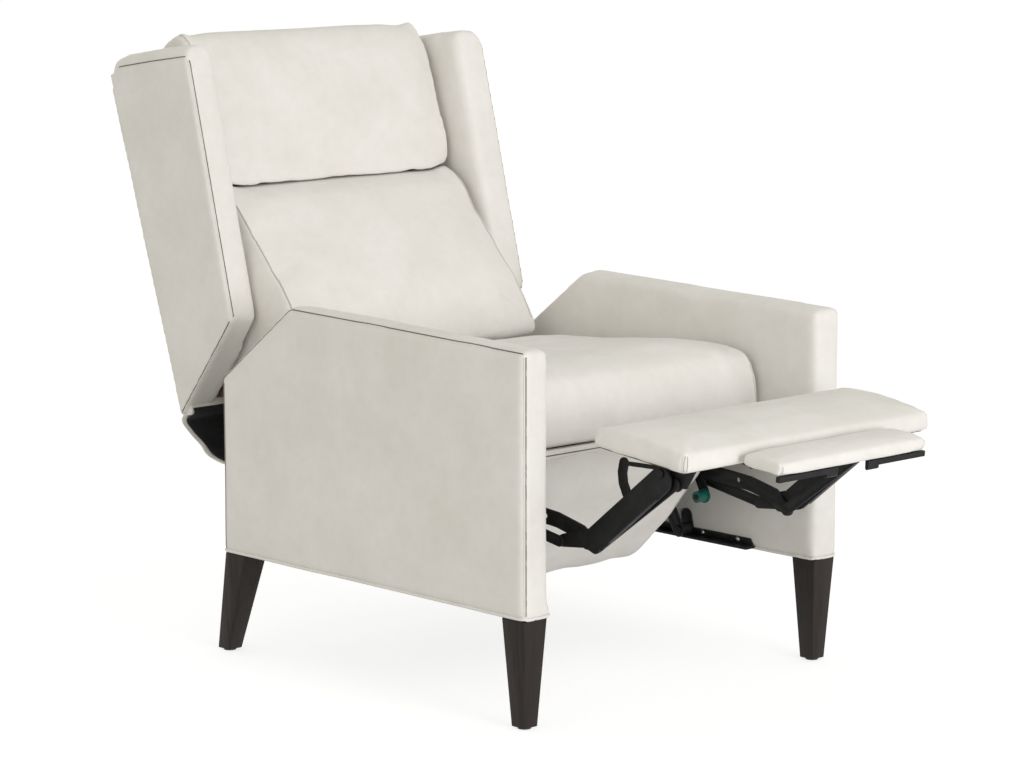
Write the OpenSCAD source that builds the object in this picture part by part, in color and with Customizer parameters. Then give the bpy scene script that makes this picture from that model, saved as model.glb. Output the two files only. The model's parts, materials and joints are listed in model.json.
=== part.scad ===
/* [Arms and base] */
// Height of the underside of the arms above the floor
arm_bottom_h = 183; // [150:1:200]
// Height of the arm top at its front
arm_front_h = 622; // [580:1:630]
// Height of the arm top where the rear slope starts
arm_peak_h = 636.8; // [634:0.1:640]
// Height of the arm at its rear edge
arm_notch_h = 494.5; // [470:0.5:500]
// Depth from the arm front to the start of the rear slope
arm_top_depth = 580.6; // [550:0.1:585]
// Depth of the arm from front to rear
arm_depth = 768.5; // [760:0.5:772]
// Thickness of an arm across its upholstery
arm_thick = 60; // [50:1:80]
// Clear width between the two arms
inside_w = 632; // [626:1:680]
// Thickness of leather and padding over the arm frame
arm_skin = 10; // [6:1:14]
// Width of the boards of the arm frame
arm_board = 45; // [30:1:60]
// Rounding of the arm outline at its corners
arm_round = 9; // [4:1:16]
// Width of a leg at its top
leg_top = 52; // [40:1:56]
// Width of a leg at the floor
leg_foot = 30; // [20:1:38]
// Distance that the rear legs lean back between top and floor
leg_rake = 50; // [0:1:60]
// Inset of the legs from the outer faces of the arm
leg_inset = 3; // [0:1:10]
// Thickness of the glide under each leg
glide_t = 3; // [2:0.5:6]
// Diameter of the glide under each leg
glide_d = 22; // [14:1:26]
// Height of the wooden stretcher at the rear
stretcher_h = 70; // [40:1:110]
// Thickness of the wooden stretcher at the rear
stretcher_t = 22; // [16:1:28]

/* [Swing links] */
// Length of the swing links that carry the seat
swing_len = 150; // [140:1:156]
// Lean of the swing links from vertical with the chair reclined
swing_open = 29.4; // [26:0.2:31]
// Width of a swing link
swing_w = 26; // [22:1:32]
// Distance between the front and the rear swing links
swing_pitch = 220; // [200:1:240]
// Thickness of the steel of every link and plate
steel_t = 4; // [3:0.5:4]
// Diameter of the pivot pins
pin_d = 10; // [8:0.5:10]
// Radial clearance of a pin in its hole
pin_gap = 0.05; // [0.02:0.01:0.1]

/* [Back] */
// Angle that the back leans further when reclined
recline_deg = 14.3; // [10:0.1:15]
// Width over the outer faces of the wings
back_w = 705; // [690:1:712]
// Thickness of a wing
wing_t = 65; // [50:1:68]
// Height of the front edge of a wing
wing_front_h = 475; // [430:1:500]
// Height of the rear corner of a wing above its front lower corner
wing_rear_h = 502; // [440:1:510]
// Depth of a wing at its top
wing_top_d = 236; // [210:1:240]
// Depth of the back at its lower rear corner
wing_low_d = 191; // [188:1:205]
// Drop of the lower rear corner below the front lower corner
wing_drop = 144; // [130:1:150]
// Thickness of the upholstered rear panel
back_panel_t = 26; // [20:1:34]
// Thickness of the wooden posts inside the back
post_t = 24; // [18:1:30]

/* [Seat] */
// Width of the seat cushion
seat_w = 616; // [590:1:618]
// Height of the seat cushion front above the floor at its lower edge
seat_front_h = 430; // [428:1:436]
// Thickness of the seat cushion at the front
seat_t = 118; // [100:1:122]
// Backward pitch of the seat in degrees
seat_pitch = 5.3; // [4.6:0.1:5.6]
// Depth of the seat cushion
seat_d = 555; // [520:1:560]
// Crown of the seat cushion
seat_crown = 16; // [8:1:18]
// Width of the footrest apron under the seat
apron_w = 392; // [300:1:400]
// Thickness of the hanging leather
leather_t = 2.4; // [1.6:0.1:2.6]

/* [Footrest] */
// Width of the main footrest pad
pad_w = 590; // [540:1:600]
// Depth of the main footrest pad
pad_d = 206; // [190:1:206]
// Thickness of the main footrest pad at its edge
pad_t = 34; // [28:1:36]
// Thickness of the boards inside the footrest
board_t = 12; // [9:1:14]
// Downward slope of the footrest pad in degrees
pad_tilt = 5.6; // [5:0.1:6]
// Width of the front flap of the footrest
flap_w = 352; // [300:1:380]
// Depth of the front flap of the footrest
flap_d = 90; // [70:1:92]
// Thickness of the front flap of the footrest
flap_t = 27; // [22:1:28]
// Length of the lift links
lift_len = 200; // [199:0.5:201]
// Width of the lift links
lift_w = 26; // [22:1:26]
// Width of the lower guide links
guide_w = 18; // [14:1:18]
// Width of the front links
front_w = 44; // [36:1:46]
// Diameter of the torque tube between the lift links
torque_d = 20; // [16:1:20]

/* [Drive and buttons] */
// Diameter of the motor
motor_d = 46; // [36:1:50]
// Width of the drive rail
rail_w = 30; // [26:1:40]
// Diameter of the drive screw
screw_d = 8; // [6:0.5:9]
// Diameter of the two buttons
button_d = 16; // [12:1:20]
// Travel of the two buttons
button_travel = 1.5; // [1:0.1:2.5]

/* [Hidden] */

// Colours of the finished materials
leather_col = [0.86, 0.85, 0.82];
wood_col = [0.16, 0.12, 0.11];
pine_col = [0.78, 0.64, 0.45];
steel_col = [0.13, 0.13, 0.15];
zinc_col = [0.62, 0.63, 0.65];
bush_col = [0.02, 0.36, 0.31];
plastic_col = [0.07, 0.07, 0.08];

// Frame of the whole object: the origin lies midway between its foremost and rearmost points
arm_x = inside_w / 2 + arm_thick / 2;
arm_inner_x = inside_w / 2;

// Seat links: base pivots, seat pivots and the two cross tubes
axle_z = 330;
rear_axle = [592, axle_z];
front_axle = rear_axle - [swing_pitch, 0];
swing_reach = swing_len * [sin(swing_open), cos(swing_open)];
rear_foot = rear_axle - swing_reach;
front_foot = front_axle - swing_reach;
swing_x = 288;
axle_d = 12;
base_rail_low = arm_bottom_h + 3;
base_rail_h = 16;
base_rail_flange = 24;
base_rail_start = 138;
base_rail_end = 660;
boss_r = 12;
boss_rise = 23;
base_tube_d = 20;
base_tube_y = [420, 640];
base_tube_z = base_rail_low + steel_t + base_tube_d / 2;

// Layers of the footrest linkage, from the seat plate inwards
layer_pitch = 5;
plate_x = 246;
guide_x = plate_x - layer_pitch;
front_x = plate_x - 2 * layer_pitch;
lift_x = plate_x - 3 * layer_pitch;
control_x = plate_x - 4 * layer_pitch;
bracket_x = plate_x - 5 * layer_pitch;

// Pivots of the footrest linkage with the footrest out
lift_dir = 190;
lift_a = [200, axle_z];
elbow = lift_a + lift_len * [cos(lift_dir), sin(lift_dir)];
pair = [54, -6];
guide_a = lift_a + pair;
guide_b = elbow + pair;
front_len = 219;
front_dir = 141.36;
toe = elbow + front_len * [cos(front_dir), sin(front_dir)];
heel_len = 20;
heel_dir = 199.36;
heel = elbow + heel_len * [cos(heel_dir), sin(heel_dir)];
knee_len = 27;
knee_dir = 219.36;
knee = toe + knee_len * [cos(knee_dir), sin(knee_dir)];
knee_play = 2.4;
ear = lift_a + [-22, -44];
crank_len = 30;
crank_dir = 20;
crank_pin = lift_a + crank_len * [cos(crank_dir), sin(crank_dir)];
push_len = 90;
block_pin_z = 360;
push_rise = block_pin_z - crank_pin[1];
block_pin = crank_pin + [sqrt(push_len * push_len - push_rise * push_rise), push_rise];

// Footrest pad, in a frame that turns about the toe pivot
board_low = 26;
pad_rim = 11;
pad_lead = 104;
flap_low = 30;
flap_gap = 3;
flap_hinge = [-pad_lead - flap_gap, board_low - 1];
hinge_d = 9;
hinge_pin_d = 4;
leaf_t = 2.6;
hinge_x = 120;

// Seat frame
deck_origin = [100, seat_front_h];
deck_slope = tan(seat_pitch);
front_rail_y = deck_origin[0] + 4;
front_rail_t = 30;
front_rail_low = 415;
seat_rail_t = 22;
rear_rail_y = 618;
rear_rail_t = 22;
rear_rail_low = 345;
seat_tube_d = 18;
seat_tube_y = [420, 520];
seat_tube_z = axle_z - 12;
spring_count = 5;
spring_pitch = 90;
spring_wire = 4;
spring_loops = 11;
spring_w = 44;
spring_drop = 3;
soft_gap = 0.4;
board_gap = 0.1;

// Back, in a frame whose origin is the lower front corner of the wings
back_corner = [766, 590];
back_hinge = [560, 300];
panel_run = wing_top_d - wing_low_d;
post_w = 40;
back_bracket_x = 241.5;
post_x = back_bracket_x + steel_t / 2 + post_w / 2;
cushion_w = back_w - 2 * wing_t - 8;
tail_w = 2 * arm_inner_x - 20;
wing_crown = 20;

// Drive
rail_h = 18;
rail_low = seat_tube_z + seat_tube_d / 2;
rail_start = 250;
rail_end = 531;
rail_wall = 3;
link_t = 6;

// Buttons
button_y = [285, 325];
button_z = 593;
plate_t = 4.5;
plate_h = 30;

flap_bulge = 1.3;
corner_round = 1.3;
front_edge = toe + turned([flap_hinge[0] - flap_d - flap_gap, flap_low], pad_tilt) - [flap_bulge, 0];
rear_edge = back_corner + turned([wing_top_d, wing_rear_h], -recline_deg) - [corner_round, 0];
mid_y = (front_edge[0] + rear_edge[0]) / 2;

// A point of a side view turned by an angle about the origin
function turned(p, a) = [p[0] * cos(a) - p[1] * sin(a), p[0] * sin(a) + p[1] * cos(a)];
function unit(v) = v / norm(v);

// Height of the seat deck at a depth
function deck_z(y) = deck_origin[1] - (y - deck_origin[0]) * deck_slope;

// A side view in the frame of the reclined back, as a point of the whole object
function back_point(p) = back_corner + turned(p, -recline_deg);
function in_back(p) = turned(p - back_corner, recline_deg);

// Front face of the rear panel of the back at a height
function panel_v(w) = wing_low_d - back_panel_t + panel_run * (w + wing_drop) / (wing_rear_h + wing_drop);

// An outline with its corners rounded by short curves
function rounded(pts, r, steps = 5) = [for (i = [0:len(pts) - 1], k = [0:steps])
    let (p = pts[i], a = pts[(i + len(pts) - 1) % len(pts)], b = pts[(i + 1) % len(pts)])
    let (s = p + unit(a - p) * min(r, norm(a - p) * 0.45), e = p + unit(b - p) * min(r, norm(b - p) * 0.45))
    let (t = k / steps) s * (1 - t) * (1 - t) + p * 2 * t * (1 - t) + e * t * t];

// Puts a piece into the frame of the whole object
module place() {
    translate([0, -mid_y, 0]) children();
}

// A side view made solid: thickness t, centred at x
module side(x, t) {
    translate([x - t / 2, 0, 0]) rotate([90, 0, 90]) linear_extrude(t) children();
}

// A round bar across the chair from x0 to x1
module cross(p, x0, x1, d) {
    translate([x0, p[0], p[1]]) rotate([0, 90, 0]) cylinder(h = x1 - x0, d = d, $fn = 48);
}

// One bar of a link, with round ends
module strap(p, q, w) {
    n = [p[1] - q[1], q[0] - p[0]] / norm(q - p) * w / 2;
    translate(p) circle(d = w, $fn = 48);
    translate(q) circle(d = w, $fn = 48);
    polygon([p + n, p - n, q - n, q + n]);
}

// Bars joined end to end
module chain(pts, w) {
    for (i = [0:len(pts) - 2]) strap(pts[i], pts[i + 1], w);
}

// A pin hole in a link
module eye(p, d = pin_d + 2 * pin_gap) {
    translate(p) circle(d = d, $fn = 48);
}

module in_back_frame() {
    translate([0, back_corner[0], back_corner[1]]) rotate([-recline_deg, 0, 0]) children();
}

module in_pad_frame() {
    translate([0, toe[0], toe[1]]) rotate([pad_tilt, 0, 0]) children();
}

module in_deck_frame() {
    translate([0, deck_origin[0], deck_origin[1]]) rotate([-seat_pitch, 0, 0]) children();
}

// A padded form: rings of one outline along x, shrunk towards an anchor near the ends
module padded_form(outline, anchor, half_w, end_scale, draw, stations = 6) {
    n = len(outline);
    ys = [for (p = outline) p[0]];
    mid = (min(ys) + max(ys)) / 2;
    half = (max(ys) - min(ys)) / 2;
    ends = [for (k = [0:stations]) 1 - pow(1 - k / stations, 1.7)];
    places = concat([for (k = [0:stations - 1]) ends[k] - 1],
        [for (k = [0:stations]) 1 - ends[stations - k]]);
    rings = len(places);
    points = [for (s = places, p = outline)
        let (g = end_scale + (1 - end_scale) * pow(1 - pow(abs(s), 4), 0.5))
        let (q = anchor + (p - anchor) * g, c = (p[0] - mid) / half)
        [s * (half_w - draw * (1 - c * c)), q[0], q[1]]];
    walls = [for (i = [0:rings - 2], j = [0:n - 1]) let (k = (j + 1) % n)
        each [[i * n + j, i * n + k, (i + 1) * n + k], [i * n + j, (i + 1) * n + k, (i + 1) * n + j]]];
    caps = [[for (j = [n - 1:-1:0]) j], [for (j = [0:n - 1]) (rings - 1) * n + j]];
    polyhedron(points, concat(walls, caps), convexity = 4);
}

// A hanging strip of leather: a side route with rounded folds, ribbed slightly across its width
module hanging_leather(route, widths, waves, depth, columns = 16) {
    n = len(route);
    offs = [for (i = [0:n - 1]) let (d = unit(route[min(i + 1, n - 1)] - route[max(i - 1, 0)]))
        [-d[1], d[0]]];
    cols = [for (k = [0:columns]) -1 + 2 * k / columns];
    sag = [for (i = [0:n - 1]) sin(180 * i / (n - 1))];
    points = [for (side = [1, -1], s = cols, i = [0:n - 1])
        let (q = route[i] + offs[i] * (side * leather_t / 2 + depth * sag[i] * sin(waves * 180 * s)))
        [s * widths[i], q[0], q[1]]];
    m = n * (columns + 1);
    top = [for (k = [0:columns - 1], i = [0:n - 2]) let (a = k * n + i, b = a + n)
        each [[a, a + 1, b + 1], [a, b + 1, b]]];
    low = [for (f = top) [f[2] + m, f[1] + m, f[0] + m]];
    rim_a = [for (i = [0:n - 2]) each [[i + m, i + 1, i], [i + m, i + 1 + m, i + 1]]];
    e = columns * n;
    rim_b = [for (i = [0:n - 2])
        each [[e + i, e + i + 1, e + i + m], [e + i + 1, e + i + 1 + m, e + i + m]]];
    rim_c = [for (k = [0:columns - 1]) let (a = k * n, b = a + n) each [[a, b, a + m], [b, b + m, a + m]]];
    rim_d = [for (k = [0:columns - 1]) let (a = k * n + n - 1, b = a + n)
        each [[a + m, b, a], [a + m, b + m, b]]];
    polyhedron(points, concat(top, low, rim_a, rim_b, rim_c, rim_d), convexity = 6);
}

function arm_outline(inset) = [
    [inset, arm_bottom_h + inset],
    [inset, arm_front_h - inset],
    [arm_top_depth - inset * 0.3, arm_peak_h - inset],
    [arm_depth - inset, arm_notch_h - inset * 0.5],
    [arm_depth - inset, arm_bottom_h + inset]];

// Wooden frames inside the arms: posts, rails and the sloping rear board
module arm_frames() {
    color(pine_col) place() for (s = [-1, 1])
        side(s * arm_x, arm_thick - 2 * arm_skin) difference() {
            polygon(arm_outline(arm_skin));
            polygon(arm_outline(arm_skin + arm_board));
        }
}

// Padded leather shell of an arm, closed all round
module arm_cover(s) {
    color(leather_col) place() difference() {
        side(s * arm_x, arm_thick) polygon(rounded(arm_outline(0), arm_round));
        side(s * arm_x, arm_thick - 2 * arm_skin) polygon(arm_outline(arm_skin));
    }
}

// A square leg that tapers on all four sides; lean moves its foot back
module leg(s, y, lean) {
    a = leg_top / 2;
    b = leg_foot / 2;
    h = arm_bottom_h - glide_t;
    x = s * (arm_x + arm_thick / 2 - leg_inset - a);
    color(wood_col) place() translate([x, y, glide_t]) intersection() {
        side(0, leg_top) polygon([[lean - b, 0], [lean + b, 0], [a, h], [-a, h]]);
        rotate([90, 0, 0]) linear_extrude(4 * leg_top + 4 * leg_rake, center = true)
            polygon([[-b, 0], [b, 0], [a, h], [-a, h]]);
    }
}

front_leg_y = leg_inset + leg_top / 2;
rear_leg_y = arm_depth - leg_inset - leg_top / 2;

module leg_glides() {
    x = arm_x + arm_thick / 2 - leg_inset - leg_top / 2;
    color(plastic_col) place() for (s = [-1, 1], y = [front_leg_y, rear_leg_y + leg_rake])
        translate([s * x, y, 0]) cylinder(h = glide_t, d = glide_d, $fn = 48);
}

// Steel angle on the inner face of an arm, with a boss at each of its two swing pivots
module base_rail(s) {
    low = base_rail_low;
    outer = arm_inner_x;
    inner = swing_x - steel_t / 2;
    color(steel_col) place() mirror([s < 0 ? 1 : 0, 0, 0]) {
        side(outer - steel_t / 2, steel_t) {
            polygon([[base_rail_start, low], [base_rail_end, low], [base_rail_end, low + base_rail_h],
                [base_rail_start + base_rail_h * 0.6, low + base_rail_h]]);
            for (p = [front_foot, rear_foot]) strap(p, p + [5, boss_rise], 2 * boss_r);
        }
        translate([outer - base_rail_flange, base_rail_start, low])
            cube([base_rail_flange, base_rail_end - base_rail_start, steel_t]);
        for (p = [front_foot, rear_foot]) {
            cross(p, inner + steel_t + 1, outer - steel_t / 2, 22);
            cross(p, inner - 3, outer - steel_t / 2, pin_d);
            cross(p, inner - 3, inner - 0.5, pin_d + 6);
        }
    }
}

module base_cross_tubes() {
    reach = arm_inner_x - steel_t;
    color(steel_col) place() for (y = base_tube_y) difference() {
        cross([y, base_tube_z], -reach, reach, base_tube_d);
        cross([y, base_tube_z], -reach - 1, reach + 1, base_tube_d - 5);
    }
}

module rear_stretcher() {
    color(wood_col) place() translate([-arm_inner_x, arm_depth - stretcher_t - 10, arm_bottom_h])
        cube([2 * arm_inner_x, stretcher_t, stretcher_h]);
}

// A swing link with a hole at each end
module swing_link(s, foot, head) {
    color(steel_col) place() side(s * swing_x, steel_t) difference() {
        strap(foot, head, swing_w);
        eye(foot);
        eye(head, axle_d + 2 * pin_gap);
    }
}

// Pressed plate that carries the swing axles, the footrest pivots and the back hinge
module seat_plate(s) {
    inner = plate_x - steel_t / 2;
    color(steel_col) place() mirror([s < 0 ? 1 : 0, 0, 0]) {
        side(plate_x, steel_t) difference() {
            union() {
                chain([lift_a, front_axle + [0, 4], rear_axle + [0, 4]], 40);
                strap(back_hinge, rear_axle, 36);
                translate(guide_a) circle(r = 20, $fn = 64);
            }
            eye(lift_a);
            for (p = [front_axle, rear_axle]) eye(p, axle_d);
            for (y = [430, 490]) translate([y, axle_z + 2]) strap([-14, 0], [14, 0], 16);
        }
        for (p = [guide_a, back_hinge]) cross(p, inner - layer_pitch, inner + 1, pin_d);
    }
}

// Stub axles that stand out of the seat plates into the swing links, with a collar each side
module swing_axles() {
    inner = plate_x - steel_t / 2;
    outer = swing_x + steel_t / 2 + 4;
    color(zinc_col) place() for (s = [0, 1], p = [front_axle, rear_axle]) mirror([s, 0, 0]) {
        cross(p, inner, outer, axle_d);
        cross(p, inner + steel_t, inner + steel_t + 4, axle_d + 6);
        cross(p, swing_x - steel_t / 2 - 3, swing_x - steel_t / 2 - 0.5, axle_d + 6);
        cross(p, swing_x + steel_t / 2 + 0.5, outer, axle_d + 4);
    }
}

module seat_cross_tubes() {
    reach = plate_x - steel_t / 2;
    color(steel_col) place() for (y = seat_tube_y) difference() {
        cross([y, seat_tube_z], -reach, reach, seat_tube_d);
        cross([y, seat_tube_z], -reach - 1, reach + 1, seat_tube_d - 4);
    }
}

// Wooden side rails of the seat frame, bolted to the seat plates
module seat_side_rails() {
    y0 = front_rail_y + front_rail_t;
    y1 = rear_rail_y + rear_rail_t;
    x = plate_x + steel_t / 2 + seat_rail_t / 2;
    color(pine_col) place() for (s = [-1, 1]) side(s * x, seat_rail_t) polygon([
        [y0, deck_z(y0)], [y1, deck_z(y1)], [y1, axle_z + 10], [y0 + 80, axle_z + 10],
        [y0, front_rail_low]]);
}

// Leather covered rail under the front of the seat cushion
module seat_front_rail() {
    y1 = front_rail_y + front_rail_t;
    x = plate_x + steel_t / 2 + seat_rail_t;
    color(leather_col) place() side(0, 2 * x) polygon([
        [front_rail_y, front_rail_low + 3], [front_rail_y, deck_z(front_rail_y)], [y1, deck_z(y1)],
        [y1, front_rail_low], [front_rail_y + 3, front_rail_low]]);
}

module seat_rear_rail() {
    y1 = rear_rail_y + rear_rail_t;
    color(pine_col) place() side(0, 2 * (plate_x + steel_t / 2)) polygon([
        [rear_rail_y, deck_z(rear_rail_y)], [y1, deck_z(y1)], [y1, rear_rail_low],
        [rear_rail_y, rear_rail_low]]);
}

// Zigzag springs from the front rail to the rear rail
module seat_springs() {
    y0 = (front_rail_y + front_rail_t - deck_origin[0]) / cos(seat_pitch) + 0.6;
    y1 = (rear_rail_y - deck_origin[0]) / cos(seat_pitch) - 0.8;
    step = (y1 - y0) / (spring_loops + 1);
    r = step / 2;
    color(zinc_col) place() in_deck_frame() for (i = [0:spring_count - 1]) {
        x = (i - (spring_count - 1) / 2) * spring_pitch;
        translate([x, 0, -spring_drop - spring_wire]) linear_extrude(spring_wire) {
            for (k = [0:spring_loops - 1]) {
                s = k % 2 == 0 ? 1 : -1;
                translate([s * (spring_w / 2 - r), y0 + (k + 1) * step]) difference() {
                    circle(r = r + spring_wire / 2, $fn = 32);
                    circle(r = r - spring_wire / 2, $fn = 32);
                    translate([s > 0 ? -2 * r : 0, -2 * r]) square([2 * r, 4 * r]);
                }
            }
            for (k = [1:spring_loops - 1])
                translate([r - spring_w / 2, y0 + (k + 0.5) * step - spring_wire / 2])
                    square([spring_w - 2 * r, spring_wire]);
            translate([-spring_wire / 2, y0]) square([spring_wire, step / 2]);
            translate([-spring_wire / 2, y0 + step / 2 - spring_wire / 2])
                square([spring_w / 2 - r + spring_wire / 2, spring_wire]);
            translate([-spring_wire / 2, y1 - step / 2]) square([spring_wire, step / 2]);
            last = spring_loops % 2 == 1 ? 0 : r - spring_w / 2;
            translate([last, y1 - step / 2 - spring_wire / 2]) square([spring_w / 2 - r, spring_wire]);
        }
    }
}

// Seat cushion: boxed front, crowned top, flat underside on the deck
module seat_cushion() {
    high = seat_t + seat_crown;
    outline = rounded([[2, soft_gap], [-2, seat_t * 0.55], [10, seat_t], [70, high], [170, high + 4],
        [320, high + 2], [450, high + 5], [seat_d - 26, high + 7], [seat_d, high - 8],
        [seat_d, soft_gap]], 24, 2);
    color(leather_col) place() in_deck_frame()
        padded_form(outline, [seat_d / 2, soft_gap], seat_w / 2, 0.93, 2);
}

// Leather hung from the front rail, down and back below the seat
module seat_apron() {
    y1 = front_rail_y + front_rail_t;
    turns = [[y1 + 2, front_rail_low + 2], [140, 396], [147, 362], [162, 332], [187, 304], [212, 274],
        [236, 245], [260, 222], [286, 200], [318, 175], [348, 162], [378, 176], [396, 214], [404, 262],
        [seat_tube_y[0] - 8, seat_tube_z - seat_tube_d / 2 - 1]];
    widths = [for (t = turns) apron_w / 2];
    color(leather_col) place() hanging_leather(smooth_route(turns), smooth_list(widths), 3, 2.2);
}

function smooth_list(w) = [for (i = [0:len(w) - 2], k = [0:1]) w[i] + (w[i + 1] - w[i]) * k / 2];

// A route rounded at each of its turns
function smooth_route(t) = [for (i = [0:len(t) - 2], k = [0:1])
    let (a = t[max(i - 1, 0)], b = t[i], c = t[i + 1], d = t[min(i + 2, len(t) - 1)], u = k / 2)
    0.5 * (2 * b + (c - a) * u + (2 * a - 5 * b + 4 * c - d) * u * u + (3 * b - a - 3 * c + d) * u * u * u)];

// Plastic bushes on the inner ends of the lift link ears
module link_bushings() {
    color(bush_col) place() for (s = [0, 1]) mirror([s, 0, 0]) difference() {
        union() {
            cross(ear, lift_x - steel_t / 2 - 22, lift_x - steel_t / 2 - 1, 20);
            cross(ear, lift_x - steel_t / 2 - 3, lift_x - steel_t / 2, 25);
        }
        cross(ear, lift_x - 40, lift_x + 10, pin_d);
    }
}

// Steel arm from the hinge at the seat plate up to a post of the back
module back_bracket(s) {
    arm_top = -118;
    path = [in_back(back_hinge), [-20, -300], [90, -215], [panel_v(arm_top) - post_t, arm_top]];
    post_line = [for (w = [arm_top + 8, 40]) [panel_v(w) - post_t / 2, w]];
    color(steel_col) place() in_back_frame() difference() {
        side(s * back_bracket_x, steel_t) difference() {
            union() {
                chain(path, 40);
                strap(post_line[0], post_line[1], post_t - 2);
            }
            eye(path[0]);
        }
        for (w = [-90, 10]) side(s * back_bracket_x, steel_t + 2)
            translate([panel_v(w) - post_t / 2, w]) circle(d = 7, $fn = 32);
    }
}

// Layer of the back frame in front of the rear panel, between two heights
module back_layer(x, t, w0, w1) {
    rear = -board_gap;
    side(x, t) polygon([[panel_v(w0) - post_t, w0], [panel_v(w0) + rear, w0], [panel_v(w1) + rear, w1],
        [panel_v(w1) - post_t, w1]]);
}

module back_posts() {
    color(pine_col) place() in_back_frame() for (s = [-1, 1])
        back_layer(s * post_x, post_w, -wing_drop + 24, wing_front_h - 4);
}

module back_rails() {
    color(pine_col) place() in_back_frame() {
        back_layer(0, 2 * (back_bracket_x - steel_t / 2), -118, -70);
        for (w = [[190, 235], [wing_front_h - 50, wing_front_h - 4]])
            back_layer(0, 2 * (post_x - post_w / 2), w[0], w[1]);
    }
}

// Rear panel of the back, leather over board, full width over the wings
module back_panel() {
    color(leather_col) place() in_back_frame() side(0, back_w) polygon(rounded([
        [wing_low_d, -wing_drop], [wing_top_d, wing_rear_h], [wing_top_d - back_panel_t, wing_rear_h],
        [wing_low_d - back_panel_t, -wing_drop]], 3, 2));
}

// Upholstered wing: sloping underside, straight front edge and a top that rises inwards in a crown
module wing(s) {
    foot_v = panel_v(-wing_drop);
    foot_w = -wing_drop * foot_v / wing_low_d;
    head_v = panel_v(wing_rear_h);
    slope = atan((wing_rear_h - wing_front_h) / wing_top_d);
    head_w = wing_front_h + head_v * tan(slope);
    half = wing_t / 2;
    color(leather_col) place() in_back_frame() translate([s * (back_w / 2 - half), 0, 0]) intersection() {
        side(0, wing_t) polygon(rounded([[0, 0], [foot_v + 0.7, foot_w],
            [head_v, head_w + wing_crown], [0, wing_front_h + wing_crown]], 9, 3));
        translate([0, 0, wing_front_h]) rotate([slope, 0, 0]) rotate([90, 0, 0])
            linear_extrude(4 * wing_top_d, center = true) mirror([s < 0 ? 1 : 0, 0]) polygon(rounded([
                [-half, -2 * wing_front_h], [half, -2 * wing_front_h], [half, 0],
                [half * 0.45, wing_crown * 0.85],
                [-half * 0.3, wing_crown], [-half, wing_crown * 0.6]], 14, 3));
    }
}

// Front face of the posts of the back, less a small gap, at a height
function rest_v(w) = panel_v(w) - post_t - soft_gap;

// Headrest cushion between the wings, full at the front and rolled over at the top
module headrest_cushion() {
    outline = rounded([[66, 252], [50, 294], [54, 400], [64, 470], [84, 520], [112, 534],
        [150, 528], [rest_v(505), 505], [rest_v(252), 252]], 18, 2);
    color(leather_col) place() in_back_frame()
        padded_form(outline, [rest_v(380), 380], cushion_w / 2, 0.95, 2);
}

// Lumbar cushion: thin under the headrest, thick and forward where it meets the seat
module lumbar_cushion() {
    outline = rounded([[rest_v(-86), -86], [60, -87], [-30, -95], [-100, -101], [-110, -74], [-101, -24],
        [-80, 36], [-44, 100], [-10, 160], [20, 216], [72, 250], [rest_v(250), 250]], 18, 2);
    color(leather_col) place() in_back_frame()
        padded_form(outline, [rest_v(60), 60], cushion_w / 2, 0.94, 2);
}

// Leather that closes the gap behind the seat, hung from the lower edge of the rear panel
module tail_flap() {
    low = back_point([wing_low_d, -wing_drop]);
    turns = [low + [-5, 0.2], low + [0, -20], low + [0, -40], low + [-14, -55], low + [-30, -64],
        low + [-66, -73], low + [-106, -75]];
    wide = back_w / 2 - 3;
    slim = tail_w / 2;
    widths = [wide, wide, wide, slim, slim, slim, slim];
    color(leather_col) place() hanging_leather(smooth_route(turns), smooth_list(widths), 2, 1.5, 12);
}

// Bowed lift link: pivot on the torque tube, elbow and heel pins, and an ear for a bush
module lift_link(s) {
    u = unit(elbow - lift_a);
    n = [u[1], -u[0]];
    color(steel_col) place() mirror([s < 0 ? 1 : 0, 0, 0]) {
        side(lift_x, steel_t) difference() {
            union() {
                chain([lift_a, lift_a + u * 70 + n * 9, lift_a + u * 128 + n * 14,
                    elbow - u * 14 + n * 11, elbow], lift_w);
                strap(elbow, heel, 22);
                strap(lift_a, ear, 20);
            }
            eye(lift_a, torque_d - 4);
            translate(lift_a + u * 100 + n * 12) circle(d = 9, $fn = 32);
        }
        cross(elbow, lift_x, front_x + steel_t / 2 + 0.5, pin_d);
        cross(heel, control_x - steel_t / 2 - 0.3, lift_x, pin_d);
        cross(ear, lift_x - steel_t / 2 - 24, lift_x, pin_d);
    }
}

// Tube that joins the two lift links, its stub ends in the seat plates, and the drive crank
module lift_torque_tube() {
    half = lift_x - steel_t / 2;
    color(steel_col) place() {
        cross(lift_a, -half, half, torque_d);
        for (s = [0, 1]) mirror([s, 0, 0]) {
            cross(lift_a, half - 1, lift_x + steel_t / 2, torque_d - 4);
            cross(lift_a, lift_x, plate_x + steel_t / 2 + 3, pin_d);
            side(link_t / 2 + 3, 4) strap(lift_a, crank_pin, 18);
        }
        cross(crank_pin, -link_t / 2 - 6, link_t / 2 + 6, 8);
    }
}

// Lower link, parallel to the lift link
module guide_link(s) {
    color(steel_col) place() side(s * guide_x, steel_t) difference() {
        strap(guide_a, guide_b, guide_w);
        eye(guide_a);
        eye(guide_b);
    }
}

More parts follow.
